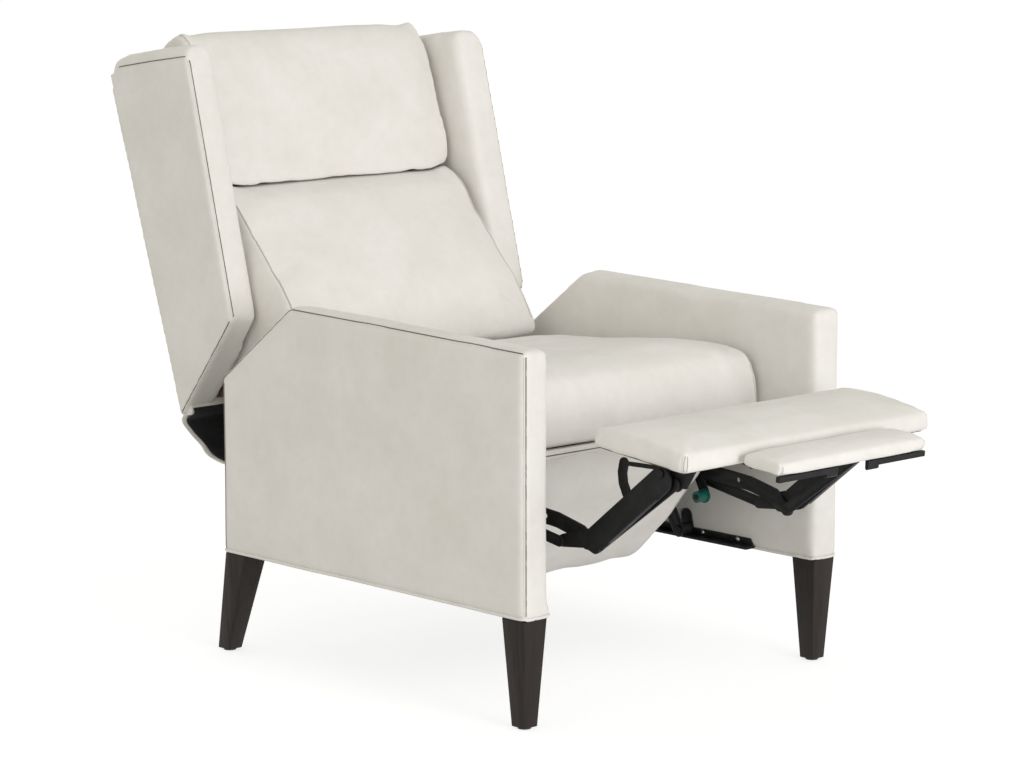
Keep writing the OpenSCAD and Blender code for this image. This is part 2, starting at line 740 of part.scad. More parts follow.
// Wide front link: a pressed bar with a heel behind the elbow and a flange on its lower edge
module front_link(s) {
    run = unit(toe - elbow);
    rise = [run[1], -run[0]];
    up = 12.5;
    low = up - front_w;
    mid = (up + low) / 2;
    tip = front_len - 7;
    color(steel_col) place() mirror([s < 0 ? 1 : 0, 0, 0]) {
        side(front_x, steel_t) difference() {
            union() {
                polygon([elbow + run * 25 + rise * up, elbow + run * tip + rise * up,
                    elbow + run * tip + rise * low, elbow + run * 37 + rise * low]);
                translate(elbow + run * tip + rise * mid) circle(d = front_w, $fn = 96);
                polygon(rounded([elbow + run * 25 + rise * up, elbow + run * 37 + rise * low,
                    elbow + [-40, -5], elbow + [-28, -6.5], guide_b + [4, -10], guide_b + [11, 0],
                    guide_b + [2, 11]], 8, 3));
            }
            eye(elbow);
            eye(toe);
        }
        side(front_x + steel_t / 2 + 2.5, 7) strap(elbow + run * 52 + rise * (low + 1.5),
            elbow + run * (tip - 24) + rise * (low + 1.5), 3);
        cross(guide_b, front_x, guide_x + steel_t / 2, pin_d);
    }
}

// Control link that turns the footrest as the front link rises
module control_link(s) {
    color(steel_col) place() mirror([s < 0 ? 1 : 0, 0, 0]) {
        side(control_x, steel_t) difference() {
            strap(heel, knee, 20);
            eye(heel);
        }
        cross(knee, bracket_x - steel_t / 2, control_x, pin_d);
    }
}

// Footrest bracket: plate below the board, slim bar, and the goose neck that hangs from its end
module footrest_bracket(s) {
    local_knee = turned(knee - toe, -pad_tilt);
    neck = [[97, -8], [99, -24], [95, -41], [87, -54], [79, -66]];
    color(steel_col) place() in_pad_frame() mirror([s < 0 ? 1 : 0, 0, 0]) {
        side(bracket_x, steel_t) difference() {
            union() {
                polygon([[-62, board_low], [10, board_low], [14, 4], [0, -11], [-20, -22],
                    [-45, -18], [-62, 16]]);
                strap([0, 0], local_knee, 25);
                strap([4, 4], neck[0], 7);
                chain(neck, 19);
            }
            eye(local_knee, pin_d + 2 * knee_play);
        }
        translate([bracket_x - steel_t / 2 - 24, -62, board_low - steel_t]) cube([26, 70, steel_t]);
        cross([0, 0], bracket_x, front_x - steel_t / 2 - 0.5, 15);
        cross([0, 0], bracket_x, front_x + steel_t / 2 + 0.5, pin_d);
    }
}

// Board inside the main pad, grown by a clearance on every side
module pad_board(gap) {
    translate([-pad_w / 2 + pad_rim - gap, pad_rim - pad_lead - gap, board_low])
        cube([pad_w - 2 * (pad_rim - gap), pad_d - 2 * (pad_rim - gap), board_t + gap]);
}

module footrest_board() {
    color(pine_col) place() in_pad_frame() pad_board(0);
}

// Main pad: crowned on top, with its leather drawn down round the edges of the board
module footrest_pad() {
    low = board_low + 1;
    high = board_low + pad_t;
    outline = rounded([[-pad_lead, low], [-pad_lead - 1, high], [-pad_lead + 40, high + 8],
        [0, high + 11], [pad_d - pad_lead - 40, high + 8], [pad_d - pad_lead, high],
        [pad_d - pad_lead, low]], 6, 3);
    color(leather_col) place() in_pad_frame() difference() {
        padded_form(outline, [0, low], pad_w / 2, 0.94, 2);
        pad_board(soft_gap);
    }
}

// Fixed halves of the two flap hinges: leaf, outer knuckles and pin
module flap_hinges() {
    color(steel_col) place() in_pad_frame() for (s = [-1, 1]) {
        difference() {
            union() {
                for (k = [-1, 1])
                    cross(flap_hinge, s * hinge_x + k * 17 - 8, s * hinge_x + k * 17 + 8, hinge_d);
                for (k = [-1, 1]) translate([s * hinge_x + k * 17 - 8, flap_hinge[0], board_low - leaf_t])
                    cube([16, 16, leaf_t]);
                translate([s * hinge_x - 25, flap_hinge[0] + 6, board_low - leaf_t]) cube([50, 28, leaf_t]);
            }
            cross(flap_hinge, s * hinge_x - 10, s * hinge_x + 10, hinge_d + 1);
        }
        cross(flap_hinge, s * hinge_x - 20, s * hinge_x + 20, hinge_pin_d);
    }
}

// Moving halves of the flap hinges, with the steel bar and ear below the front edge of the flap
module flap_brackets() {
    y1 = flap_hinge[0];
    bar_y = y1 - flap_gap - flap_d + 5;
    color(steel_col) place() in_pad_frame() mirror_pair() {
        difference() {
            union() {
                cross([y1, flap_hinge[1]], hinge_x - 8.5, hinge_x + 8.5, hinge_d);
                translate([hinge_x - 8.5, y1 - 30, flap_low - leaf_t]) cube([17, 30, leaf_t]);
            }
            cross([y1, flap_hinge[1]], hinge_x - 20, hinge_x + 20, hinge_pin_d + 2 * pin_gap);
        }
        translate([hinge_x - 8.5, bar_y, flap_low - leaf_t]) cube([17, y1 - 25 - bar_y, leaf_t]);
        translate([60, bar_y, flap_low - 9]) cube([flap_w / 2 - 62, 8, 9]);
        side(49, 26) polygon([[bar_y, flap_low], [bar_y + 8, flap_low], [bar_y + 7, flap_low - 14],
            [bar_y + 4, flap_low - 16], [bar_y + 1, flap_low - 14]]);
    }
}

module mirror_pair() {
    children();
    mirror([1, 0, 0]) children();
}

module front_flap() {
    y1 = flap_hinge[0] - flap_gap;
    outline = rounded([[y1 - flap_d, flap_low + 3], [y1 - flap_d, flap_low + flap_t - 4],
        [y1 - flap_d + 26, flap_low + flap_t], [y1 - 20, flap_low + flap_t], [y1, flap_low + flap_t - 4],
        [y1, flap_low], [y1 - flap_d + 6, flap_low]], 6, 3);
    color(leather_col) place() in_pad_frame()
        padded_form(outline, [y1 - flap_d / 2, flap_low + 8], flap_w / 2, 0.9, 1);
}

// Gearbox and motor of the power drive, with the socket for its supply lead
module drive_motor() {
    y0 = rail_end;
    z0 = rail_low - 15;
    color(plastic_col) place() {
        side(0, 64) polygon(rounded([[y0, z0], [y0 + 52, z0], [y0 + 52, z0 + 50], [y0, z0 + 50]], 8, 4));
        cross([y0 + 26, z0 + 25], 32, 122, motor_d);
        cross([y0 + 26, z0 + 25], 122, 128, motor_d - 14);
        translate([-16, y0 + 51, z0 + 25]) rotate([-90, 0, 0]) difference() {
            cylinder(h = 13, d = 16, $fn = 48);
            translate([0, 0, 3]) cylinder(h = 12, d = 10, $fn = 48);
            }
        translate([-16, y0 + 52, z0 + 25]) rotate([-90, 0, 0]) cylinder(h = 10, d = 2.5, $fn = 24);
    }
}

// Channel that guides the drive block, and the screw inside it
module drive_rail() {
    color(zinc_col) place() {
        difference() {
            translate([-rail_w / 2, rail_start, rail_low]) cube([rail_w, rail_end - rail_start, rail_h]);
            translate([-rail_w / 2 + rail_wall, rail_start - 1, rail_low + rail_wall])
                cube([rail_w - 2 * rail_wall, rail_end - rail_start + 2, rail_h]);
        }
        translate([0, rail_end, rail_low + rail_wall + screw_d / 2 + 0.5]) rotate([90, 0, 0])
            cylinder(h = rail_end - rail_start - 6, d = screw_d, $fn = 32);
        translate([-rail_w / 2 + rail_wall - 1, rail_start + 2, rail_low + rail_wall - 1])
            cube([rail_w - 2 * rail_wall + 2, 6, screw_d + 1.5]);
    }
}

// Block that the screw drives along the channel, with the fork of the push link
module drive_block() {
    z = rail_low + rail_h + 0.3;
    color(plastic_col) place() {
        translate([-rail_w / 2 + 1, block_pin[0] - 9, z]) cube([rail_w - 2, 34, 3]);
        for (s = [0, 1]) mirror([s, 0, 0]) {
            translate([link_t / 2 + 4, block_pin[0] - 9, z]) cube([5, 20, block_pin[1] + 7 - z]);
            cross(block_pin, link_t / 2 + 0.8, link_t / 2 + 5, 8);
        }
    }
}

module push_link() {
    color(steel_col) place() side(0, link_t) difference() {
        strap(crank_pin, block_pin, 12.5);
        eye(crank_pin, 8 + 2 * pin_gap);
        eye(block_pin, 8 + 2 * pin_gap);
    }
}

// Switch plate on the inner face of the right arm, with two round openings
module button_plate() {
    y = (button_y[0] + button_y[1]) / 2;
    color(plastic_col) place() difference() {
        side(-arm_inner_x + plate_t / 2, plate_t)
            strap([button_y[0], button_z], [button_y[1], button_z], plate_h);
        for (b = button_y)
            cross([b, button_z], -arm_inner_x - 1, -arm_inner_x + plate_t + 1, button_d + 0.6);
    }
}

module button(i) {
    x0 = -arm_inner_x + button_travel + 0.1;
    color(zinc_col) place() cross([button_y[i], button_z], x0, x0 + plate_t + 0.5, button_d);
}

arm_frames();
arm_cover(-1);  // right_arm_cover
arm_cover(1);  // left_arm_cover
leg(-1, front_leg_y, 0);  // front_right_leg
leg(1, front_leg_y, 0);  // front_left_leg
leg(-1, rear_leg_y, leg_rake);  // rear_right_leg
leg(1, rear_leg_y, leg_rake);  // rear_left_leg
leg_glides();
base_rail(-1);  // right_base_rail
base_rail(1);  // left_base_rail
base_cross_tubes();
rear_stretcher();
swing_link(-1, front_foot, front_axle);  // front_right_swing_link
swing_link(1, front_foot, front_axle);  // front_left_swing_link
swing_link(-1, rear_foot, rear_axle);  // rear_right_swing_link
swing_link(1, rear_foot, rear_axle);  // rear_left_swing_link
seat_plate(-1);  // right_seat_plate
seat_plate(1);  // left_seat_plate
swing_axles();
seat_cross_tubes();
seat_side_rails();
seat_front_rail();
seat_rear_rail();
seat_springs();
seat_cushion();
seat_apron();
link_bushings();
back_bracket(-1);  // right_back_bracket
back_bracket(1);  // left_back_bracket
back_posts();
back_rails();
back_panel();
wing(-1);  // right_wing
wing(1);  // left_wing
headrest_cushion();
lumbar_cushion();
tail_flap();
lift_link(-1);  // right_lift_link
lift_link(1);  // left_lift_link
lift_torque_tube();
guide_link(-1);  // right_guide_link
guide_link(1);  // left_guide_link
front_link(-1);  // right_front_link
front_link(1);  // left_front_link
control_link(-1);  // right_control_link
control_link(1);  // left_control_link
footrest_bracket(-1);  // right_footrest_bracket
footrest_bracket(1);  // left_footrest_bracket
footrest_board();
footrest_pad();
flap_hinges();
flap_brackets();
front_flap();
drive_motor();
drive_rail();
drive_block();
push_link();
button_plate();
button(0);  // recline_button
button(1);  // return_button
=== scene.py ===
import bpy
import bmesh
import json
import math
from mathutils import Matrix, Vector, kdtree, noise
from mathutils.bvhtree import BVHTree


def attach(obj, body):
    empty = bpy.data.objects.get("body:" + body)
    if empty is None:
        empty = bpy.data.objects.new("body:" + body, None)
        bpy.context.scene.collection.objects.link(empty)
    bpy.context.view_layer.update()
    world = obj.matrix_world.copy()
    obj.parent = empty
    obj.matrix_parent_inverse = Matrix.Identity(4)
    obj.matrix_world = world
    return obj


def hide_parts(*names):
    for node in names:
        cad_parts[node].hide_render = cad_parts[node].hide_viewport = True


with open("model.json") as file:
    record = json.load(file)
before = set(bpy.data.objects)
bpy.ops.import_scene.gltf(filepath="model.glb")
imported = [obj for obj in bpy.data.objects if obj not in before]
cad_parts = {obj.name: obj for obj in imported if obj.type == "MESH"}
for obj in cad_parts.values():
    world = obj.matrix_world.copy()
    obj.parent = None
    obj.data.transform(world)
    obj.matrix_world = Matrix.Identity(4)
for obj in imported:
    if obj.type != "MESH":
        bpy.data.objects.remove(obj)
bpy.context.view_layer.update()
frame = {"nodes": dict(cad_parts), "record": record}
nodes = frame["nodes"]

# Side views of the chair are in millimetres: depth behind the arm fronts, and height
ORIGIN_DEPTH = 373.0445

# Tilted frames of the back, the footrest and the seat: corner in the side view, degrees
BACK_CORNER = (766.0, 590.0)
BACK_LEAN = -14.3
PAD_PIVOT = (-168.02, 432.03)
PAD_TILT = 5.6
DECK_CORNER = (100.0, 430.0)
DECK_LEAN = -5.3

# Arms and wings: middle, half thickness and side view
ARM_X = 346.0
ARM_HALF = 30.0
ARM_BOTTOM = 183
ARM_FRONT_TOP = 622
ARM_BEND = (580.6, 636.8)
ARM_REAR = 768.5
ARM_REAR_TOP = 494.5
ARM_SIDE = [(0, ARM_BOTTOM), (0, ARM_FRONT_TOP), ARM_BEND, (ARM_REAR, ARM_REAR_TOP),
            (ARM_REAR, ARM_BOTTOM)]
WING_X = 320.0
WING_HALF = 32.5
SIDES = (("right", -1), ("left", 1))

# The buttons on the right arm, the inner face under their plate, and the arms' lower piping
BUTTON_DEPTHS = (285, 325)
BUTTON_HEIGHT = 593
ARM_INNER = 316.5
PIPING_HEIGHT = 186.5

# Back cushions: half width between the wings, and lower and upper ends along the back
CUSHION_HALF = 286.6
CUSHION_SEWN_HALF = 285.5
HEADREST_ENDS = (251.2, 533.0)
LUMBAR_ENDS = (-107.0, 250.8)
SEAT_HALF = 312.0
SEAT_ENDS = (0.4, 145.0)

# Leather of the wings drawn over the panel's edge, and half widths of panel and tail
WING_DRAWN_BACK = 24.5
WING_DRAWN_DOWN = 22.5
PANEL_HALF = 345
TAIL_TOP_HALF = 349.0
TAIL_NARROWING = 43.0
LINING_MARGIN = 9
LINING_SHIFT = -2.6
SHEET_THICKNESS = 0.0022

# Share of the simulated swelling that a cushion keeps
SWELL = 0.34

# The photograph's camera: millimetres, place as in a side view, degrees (roll in radians)
LENS = 122.28
SENSOR = 36.0
CAMERA_PLACE = (-4110.1, -3947.3, 1435.0)
CAMERA_YAW = -43.218
CAMERA_DOWN = 9.039
CAMERA_ROLL = -0.0012


# Places in the side view and in the tilted frames
def at(x, y, z):
    """A place of the side view, in metres of the shared frame."""
    return Vector((x, y - ORIGIN_DEPTH, z)) * 0.001


def swung(corner, degrees, x, v, w):
    """A place (v deep, w high) of a tilted frame."""
    a = math.radians(degrees)
    return at(x, corner[0] + v * math.cos(a) - w * math.sin(a),
              corner[1] + v * math.sin(a) + w * math.cos(a))


def in_back(x, v, w):
    return swung(BACK_CORNER, BACK_LEAN, x, v, w)


def in_pad(x, v, w):
    return swung(PAD_PIVOT, PAD_TILT, x, v, w)


def in_deck(x, v, w):
    return swung(DECK_CORNER, DECK_LEAN, x, v, w)


def unswung(corner, degrees, co):
    """Depth and height of a place in a tilted frame."""
    a = math.radians(-degrees)
    y = co.y * 1000 + ORIGIN_DEPTH - corner[0]
    z = co.z * 1000 - corner[1]
    return y * math.cos(a) - z * math.sin(a), y * math.sin(a) + z * math.cos(a)


def back_view(co):
    return unswung(BACK_CORNER, BACK_LEAN, co)


def deck_view(co):
    return unswung(DECK_CORNER, DECK_LEAN, co)


def pad_view(co):
    return unswung(PAD_PIVOT, PAD_TILT, co)


def limited(value, low, high):
    return max(low, min(high, value))


def rise(value, start, end):
    """0 at the start and 1 at the end, straight between and held beyond them."""
    return limited((value - start) / (end - start), 0, 1)


# Finishes
class Finish:
    """A procedural finish on the Principled shader, laid out in Object coordinates."""

    def __init__(self, name, color, roughness, metallic=0.0):
        self.mat = bpy.data.materials.new(name)
        self.mat.use_nodes = True
        self.tree = self.mat.node_tree
        self.bsdf = self.tree.nodes["Principled BSDF"]
        self.bsdf.inputs["Base Color"].default_value = (*color, 1.0)
        self.bsdf.inputs["Roughness"].default_value = roughness
        self.bsdf.inputs["Metallic"].default_value = metallic
        self.place = self.tree.nodes.new("ShaderNodeTexCoord").outputs["Object"]
        self.height = None

    def link(self, a, b):
        self.tree.links.new(a, b)

    def stretched(self, scale):
        node = self.tree.nodes.new("ShaderNodeMapping")
        node.inputs["Scale"].default_value = scale
        self.link(self.place, node.inputs["Vector"])
        return node.outputs["Vector"]

    def cloud(self, scale, detail=3.0, rough=0.5, place=None):
        node = self.tree.nodes.new("ShaderNodeTexNoise")
        node.inputs["Scale"].default_value = scale
        node.inputs["Detail"].default_value = detail
        node.inputs["Roughness"].default_value = rough
        self.link(place or self.place, node.inputs["Vector"])
        return node.outputs["Fac"]

    def cells(self, scale, place=None):
        node = self.tree.nodes.new("ShaderNodeTexVoronoi")
        node.feature = "SMOOTH_F1"
        node.inputs["Scale"].default_value = scale
        self.link(place or self.place, node.inputs["Vector"])
        return node.outputs["Distance"]

    def ramp(self, fac, stops):
        node = self.tree.nodes.new("ShaderNodeValToRGB")
        ramp = node.color_ramp
        while len(ramp.elements) < len(stops):
            ramp.elements.new(0.5)
        for element, (pos, color) in zip(ramp.elements, stops):
            element.position = pos
            element.color = (*color, 1.0)
        self.link(fac, node.inputs["Fac"])
        return node.outputs["Color"]

    def remap(self, fac, low, high, start=0.0, end=1.0):
        node = self.tree.nodes.new("ShaderNodeMapRange")
        node.inputs["From Min"].default_value = start
        node.inputs["From Max"].default_value = end
        node.inputs["To Min"].default_value = low
        node.inputs["To Max"].default_value = high
        self.link(fac, node.inputs["Value"])
        return node.outputs["Result"]

    def mixed(self, a, b, fac):
        node = self.tree.nodes.new("ShaderNodeMix")
        node.data_type = "RGBA"
        node.inputs["Factor"].default_value = fac
        self.link(a, node.inputs["A"])
        self.link(b, node.inputs["B"])
        return node.outputs["Result"]

    def color(self, out):
        self.link(out, self.bsdf.inputs["Base Color"])

    def roughness(self, out):
        self.link(out, self.bsdf.inputs["Roughness"])

    def bump(self, out, strength, distance):
        """Adds a layer of relief over those before it."""
        node = self.tree.nodes.new("ShaderNodeBump")
        node.inputs["Strength"].default_value = strength
        node.inputs["Distance"].default_value = distance
        self.link(out, node.inputs["Height"])
        if self.height is not None:
            self.link(self.height, node.inputs["Normal"])
        self.height = node.outputs["Normal"]
        self.link(self.height, self.bsdf.inputs["Normal"])

    def set(self, **values):
        for key, value in values.items():
            self.bsdf.inputs[key.replace("_", " ")].default_value = value


def make_leather(name, light, dark, rough):
    f = Finish(name, light, rough)
    broad = f.ramp(f.cloud(9.0, 4.0, 0.55), [(0.36, dark), (0.66, light)])
    fine = f.ramp(f.cloud(46.0, 5.0, 0.6), [(0.3, dark), (0.62, light)])
    f.color(f.mixed(broad, fine, 0.35))
    f.roughness(f.remap(f.cloud(24.0, 3.0), rough - 0.07, rough + 0.09, 0.25, 0.75))
    f.bump(f.cloud(70.0, 4.0, 0.6), 0.25, 0.0016)
    f.bump(f.cells(620.0), 0.3, 0.0004)
    f.set(Specular_IOR_Level=0.38)
    return f.mat


def make_wood(name, light, dark, rough, grain):
    f = Finish(name, light, rough)
    long = f.stretched((grain, grain, grain * 0.06))
    lines = f.cloud(3.2, 6.0, 0.62, long)
    f.color(f.ramp(lines, [(0.34, dark), (0.5, light), (0.68, dark)]))
    f.roughness(f.remap(lines, rough - 0.06, rough + 0.1, 0.3, 0.7))
    f.bump(lines, 0.22, 0.0005)
    f.set(Specular_IOR_Level=0.25)
    return f.mat


def make_coated_steel():
    f = Finish("black_coated_steel", (0.009, 0.009, 0.0095), 0.5)
    f.color(f.ramp(f.cloud(38.0, 5.0, 0.6), [(0.3, (0.0055, 0.0055, 0.006)),
                                             (0.7, (0.0125, 0.0125, 0.0135))]))
    f.roughness(f.remap(f.cloud(60.0, 4.0), 0.42, 0.62, 0.25, 0.75))
    f.bump(f.cloud(420.0, 3.0), 0.18, 0.0003)
    f.set(Specular_IOR_Level=0.24)
    return f.mat


def make_zinc():
    f = Finish("zinc_plate", (0.56, 0.57, 0.6), 0.36, 1.0)
    brushed = f.cloud(60.0, 4.0, 0.6, f.stretched((0.6, 12.0, 12.0)))
    f.color(f.ramp(brushed, [(0.3, (0.46, 0.47, 0.50)), (0.7, (0.64, 0.65, 0.67))]))
    f.roughness(f.remap(brushed, 0.28, 0.48, 0.3, 0.7))
    f.bump(brushed, 0.12, 0.0003)
    return f.mat


def make_plastic(name, light, dark, rough):
    f = Finish(name, light, rough)
    f.color(f.ramp(f.cloud(50.0, 3.0), [(0.3, dark), (0.7, light)]))
    f.roughness(f.remap(f.cloud(90.0, 3.0), rough - 0.05, rough + 0.08, 0.3, 0.7))
    f.bump(f.cells(900.0), 0.15, 0.0003)
    return f.mat


LEATHER = make_leather("pale_leather", (0.80, 0.774, 0.748), (0.722, 0.698, 0.660), 0.52)
# The dark lines beside the seams are painted shade of the seam recesses, darker on the panels and
# lighter on the cushions
SEAM_SHADE = make_leather("seam_shade", (0.20, 0.18, 0.155), (0.13, 0.115, 0.095), 0.8)
SOFT_SEAM_SHADE = make_leather("soft_seam_shade", (0.50, 0.475, 0.43), (0.42, 0.395, 0.355), 0.8)
LEG_WOOD = make_wood("espresso_wood", (0.0205, 0.0140, 0.0115), (0.0095, 0.0068, 0.0058), 0.5,
                     14.0)
# Frame wood: a brown darker than light hardwood, partly its own tone and partly painted shade for
# where the frame is seen in shadow
FRAME_WOOD_AND_SHADE = make_wood("frame_wood", (0.150, 0.104, 0.068), (0.094, 0.062, 0.040), 0.68, 9.0)
STEEL = make_coated_steel()
ZINC = make_zinc()
BUSH = make_plastic("green_bush", (0.002, 0.120, 0.090), (0.001, 0.080, 0.060), 0.4)
PLASTIC = make_plastic("black_plastic", (0.022, 0.022, 0.025), (0.014, 0.014, 0.016), 0.5)
DUST_CLOTH = make_plastic("black_dust_cloth", (0.009, 0.009, 0.010), (0.006, 0.006, 0.0065),
                          0.9)

SLOT_FINISH = {"leather": LEATHER, "dark_wood": LEG_WOOD, "frame_wood": FRAME_WOOD_AND_SHADE,
               "black_steel": STEEL, "zinc_steel": ZINC, "bush_plastic": BUSH,
               "black_plastic": PLASTIC}


def dress(ob, mat, body, stands_for=()):
    """Gives a piece its finish, the body that it rides on and the solids that it replaces."""
    ob.data.materials.clear()
    ob.data.materials.append(mat)
    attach(ob, body)
    if stands_for:
        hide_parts(*stands_for)
    return ob


def carried_finishes():
    """Gives every CAD node that stays visible the finish of its material slot."""
    for part in frame["record"]["subparts"]:
        data = nodes[part["node"]].data
        data.materials.clear()
        data.materials.append(SLOT_FINISH[part["material_slot"]])


# Mesh helpers
def piece(name, bm, smooth=True):
    mesh = bpy.data.meshes.new(name)
    bm.to_mesh(mesh)
    bm.free()
    for poly in mesh.polygons:
        poly.use_smooth = smooth
    ob = bpy.data.objects.new(name, mesh)
    bpy.context.scene.collection.objects.link(ob)
    return ob


def node_copy(node):
    """A mesh with the shape of a CAD node, which itself stays as it is."""
    bm = bmesh.new()
    bm.from_mesh(nodes[node].data)
    bmesh.ops.remove_doubles(bm, verts=bm.verts, dist=1e-6)
    return bm


def baked(ob):
    """The mesh that the piece's modifiers make, kept as its own mesh."""
    graph = bpy.context.evaluated_depsgraph_get()
    mesh = bpy.data.meshes.new_from_object(ob.evaluated_get(graph))
    ob.modifiers.clear()
    ob.data = mesh
    for poly in mesh.polygons:
        poly.use_smooth = True
    return ob


def remeshed(ob, voxel):
    mod = ob.modifiers.new("Even skin", "REMESH")
    mod.mode = "VOXEL"
    mod.voxel_size = voxel
    mod.adaptivity = 0.0
    return baked(ob)


def finer(ob):
    mod = ob.modifiers.new("Finer skin", "SUBSURF")
    mod.levels = 1
    mod.render_levels = 1
    return baked(ob)


def softened(ob, rounds, chosen=lambda co: True):
    """Rounds off the edges of a piece, or of one part of it."""
    bm = bmesh.new()
    bm.from_mesh(ob.data)
    verts = [v for v in bm.verts if chosen(v.co)]
    for _ in range(rounds):
        bmesh.ops.smooth_vert(bm, verts=verts, factor=0.5, use_axis_x=True, use_axis_y=True,
                              use_axis_z=True)
    bm.to_mesh(ob.data)
    bm.free()
    return ob


def side_slab(outline, x0, x1, place=at):
    """A side view given a width."""
    bm = bmesh.new()
    ring = [bm.verts.new(place(x0, *p)) for p in outline]
    face = bm.faces.new(ring)
    out = bmesh.ops.extrude_face_region(bm, geom=[face])
    moved = [v for v in out["geom"] if isinstance(v, bmesh.types.BMVert)]
    bmesh.ops.translate(bm, verts=moved, vec=((x1 - x0) * 0.001, 0, 0))
    bmesh.ops.recalc_face_normals(bm, faces=bm.faces)
    return bm


def sharp_edges(bm, degrees):
    limit = math.radians(degrees)
    return [e for e in bm.edges if len(e.link_faces) == 2 and e.calc_face_angle(0.0) > limit]


def bevelled(bm, width, segments, degrees=28.0):
    bmesh.ops.dissolve_limit(bm, angle_limit=math.radians(0.6), verts=bm.verts, edges=bm.edges)
    bmesh.ops.bevel(bm, geom=sharp_edges(bm, degrees), offset=width, offset_type="OFFSET",
                    affect="EDGES", segments=segments, profile=0.5, material=-1, clamp_overlap=True)
    return bm


def shaded_by_angle(ob, degrees=35.0):
    """Smooth shading with crisp edges."""
    bm = bmesh.new()
    bm.from_mesh(ob.data)
    limit = math.radians(degrees)
    for e in bm.edges:
        e.smooth = len(e.link_faces) == 2 and e.calc_face_angle(0.0) < limit
    bm.to_mesh(ob.data)
    bm.free()
    return ob


def waved(ob, depth, scale, seed):
    """Slow unevenness of stuffed leather, along the normals."""
    mesh = ob.data
    normals = [v.normal.copy() for v in mesh.vertices]
    for v, n in zip(mesh.vertices, normals):
        v.co += n * depth * noise.noise(v.co * scale + Vector((seed, 2.3 * seed, 0)))
    return ob


def resampled(points, step=0.004):
    out = [points[0]]
    for a, b in zip(points, points[1:]):
        count = max(1, int((b - a).length / step))
        out += [a.lerp(b, (k + 1) / count) for k in range(count)]
    return out


def tree_of(ob):
    mesh = ob.data
    return BVHTree.FromPolygons([v.co for v in mesh.vertices], [p.vertices for p in mesh.polygons])


def on_skin(tree, points):
    """Places and normals on a skin along a line."""
    found = [tree.find_nearest(p) for p in resampled(points)]
    return [(f[0], f[1]) for f in found if f[0] is not None]


def tube(bm, spots, radius, sink, closed=False, sides=8):
    """A round cord laid along places on a skin, sunk into it by a share of its radius."""
    rings = []
    count = len(spots)
    for i, (co, normal) in enumerate(spots):
        ahead = spots[(i + 1) % count if closed else min(i + 1, count - 1)][0]
        behind = spots[(i - 1) % count if closed else max(i - 1, 0)][0]
        run = (ahead - behind).normalized()
        across = run.cross(normal).normalized()
        up = across.cross(run).normalized()
        spin = Matrix((across, up, run)).transposed().to_4x4()
        spin.translation = co + normal * radius * (1 - 2 * sink)
        ring = bmesh.ops.create_circle(bm, segments=sides, radius=radius, matrix=spin)
        rings.append(ring["verts"])
    pairs = list(zip(rings, rings[1:])) + ([(rings[-1], rings[0])] if closed else [])
    for a, b in pairs:
        for k in range(sides):
            j = (k + 1) % sides
            bm.faces.new((a[k], a[j], b[j], b[k]))
    if not closed:
        bm.faces.new(rings[0][::-1])
        bm.faces.new(rings[-1])


def groove(ob, lines, width, depth):
    """Presses sewn lines into a skin."""
    mesh = ob.data
    marks = [p for line in lines for p in resampled(line, 0.003)]
    tree = kdtree.KDTree(len(marks))
    for i, p in enumerate(marks):
        tree.insert(p, i)
    tree.balance()
    normals = [v.normal.copy() for v in mesh.vertices]
    for v, n in zip(mesh.vertices, normals):
        d = tree.find(v.co)[2]
        if d < 3 * width:
            v.co -= n * depth * math.exp(-(d / width) ** 2)
    return ob


SEAM_NAMES = {LEATHER: "welts", SEAM_SHADE: "painted_seam_shade", SOFT_SEAM_SHADE: "soft_painted_seam_shade"}
SEAMS = {}


def sewn(ob, body, lines, shade=SEAM_SHADE, cord=0.0015, shade_radius=0.0011, side=0.0022):
    """Seams on a skin: a slim welt with a darker line beside it, painted shade of the seam's
    recess.
    """
    tree = tree_of(ob)
    store = [SEAMS.setdefault((body, mat), bmesh.new()) for mat in (LEATHER, shade)]
    for line in lines:
        spots = on_skin(tree, line)
        if len(spots) < 3:
            continue
        tube(store[0], spots, cord, 0.62)
        shifted = []
        for i, (co, normal) in enumerate(spots):
            run = (spots[min(i + 1, len(spots) - 1)][0] - spots[max(i - 1, 0)][0]).normalized()
            near = tree.find_nearest(co + run.cross(normal).normalized() * side)
            shifted.append((near[0], near[1]))
        # the thin darker cord beside the welt is painted shade of the seam's recess
        tube(store[1], shifted, shade_radius, 0.42, sides=6)


def finish_seams():
    for (body, mat), bm in SEAMS.items():
        bmesh.ops.recalc_face_normals(bm, faces=bm.faces)
        dress(piece(f"{body}_{SEAM_NAMES[mat]}", bm), mat, body)


# Padded pieces
def inflated(ob, held, cap, frames=20, pressure=4.0):
    """Blows the skin up as cloth under pressure. Held points stay; none moves past the cap."""
    scene = bpy.context.scene
    start = [v.co.copy() for v in ob.data.vertices]
    group = ob.vertex_groups.new(name="held")
    for v in ob.data.vertices:
        weight = held(v.co)
        if weight > 0:
            group.add([v.index], weight, "REPLACE")
    mod = ob.modifiers.new("Filling", "CLOTH")
    cloth = mod.settings
    cloth.quality = 4
    cloth.mass = 0.35
    cloth.air_damping = 4.0
    cloth.tension_stiffness = 18
    cloth.compression_stiffness = 12
    cloth.shear_stiffness = 6
    cloth.bending_stiffness = 1.2
    cloth.use_pressure = True
    cloth.uniform_pressure_force = pressure
    cloth.effector_weights.gravity = 0.0
    cloth.vertex_group_mass = "held"
    mod.collision_settings.use_collision = False
    mod.point_cache.frame_start = 1
    mod.point_cache.frame_end = frames
    for f in range(1, frames + 1):
        scene.frame_set(f)
    baked(ob)
    scene.frame_set(1)
    for v, a in zip(ob.data.vertices, start):
        move = v.co - a
        if move.length > cap:
            v.co = a + move * (cap / move.length)
    ob.vertex_groups.clear()
    return ob


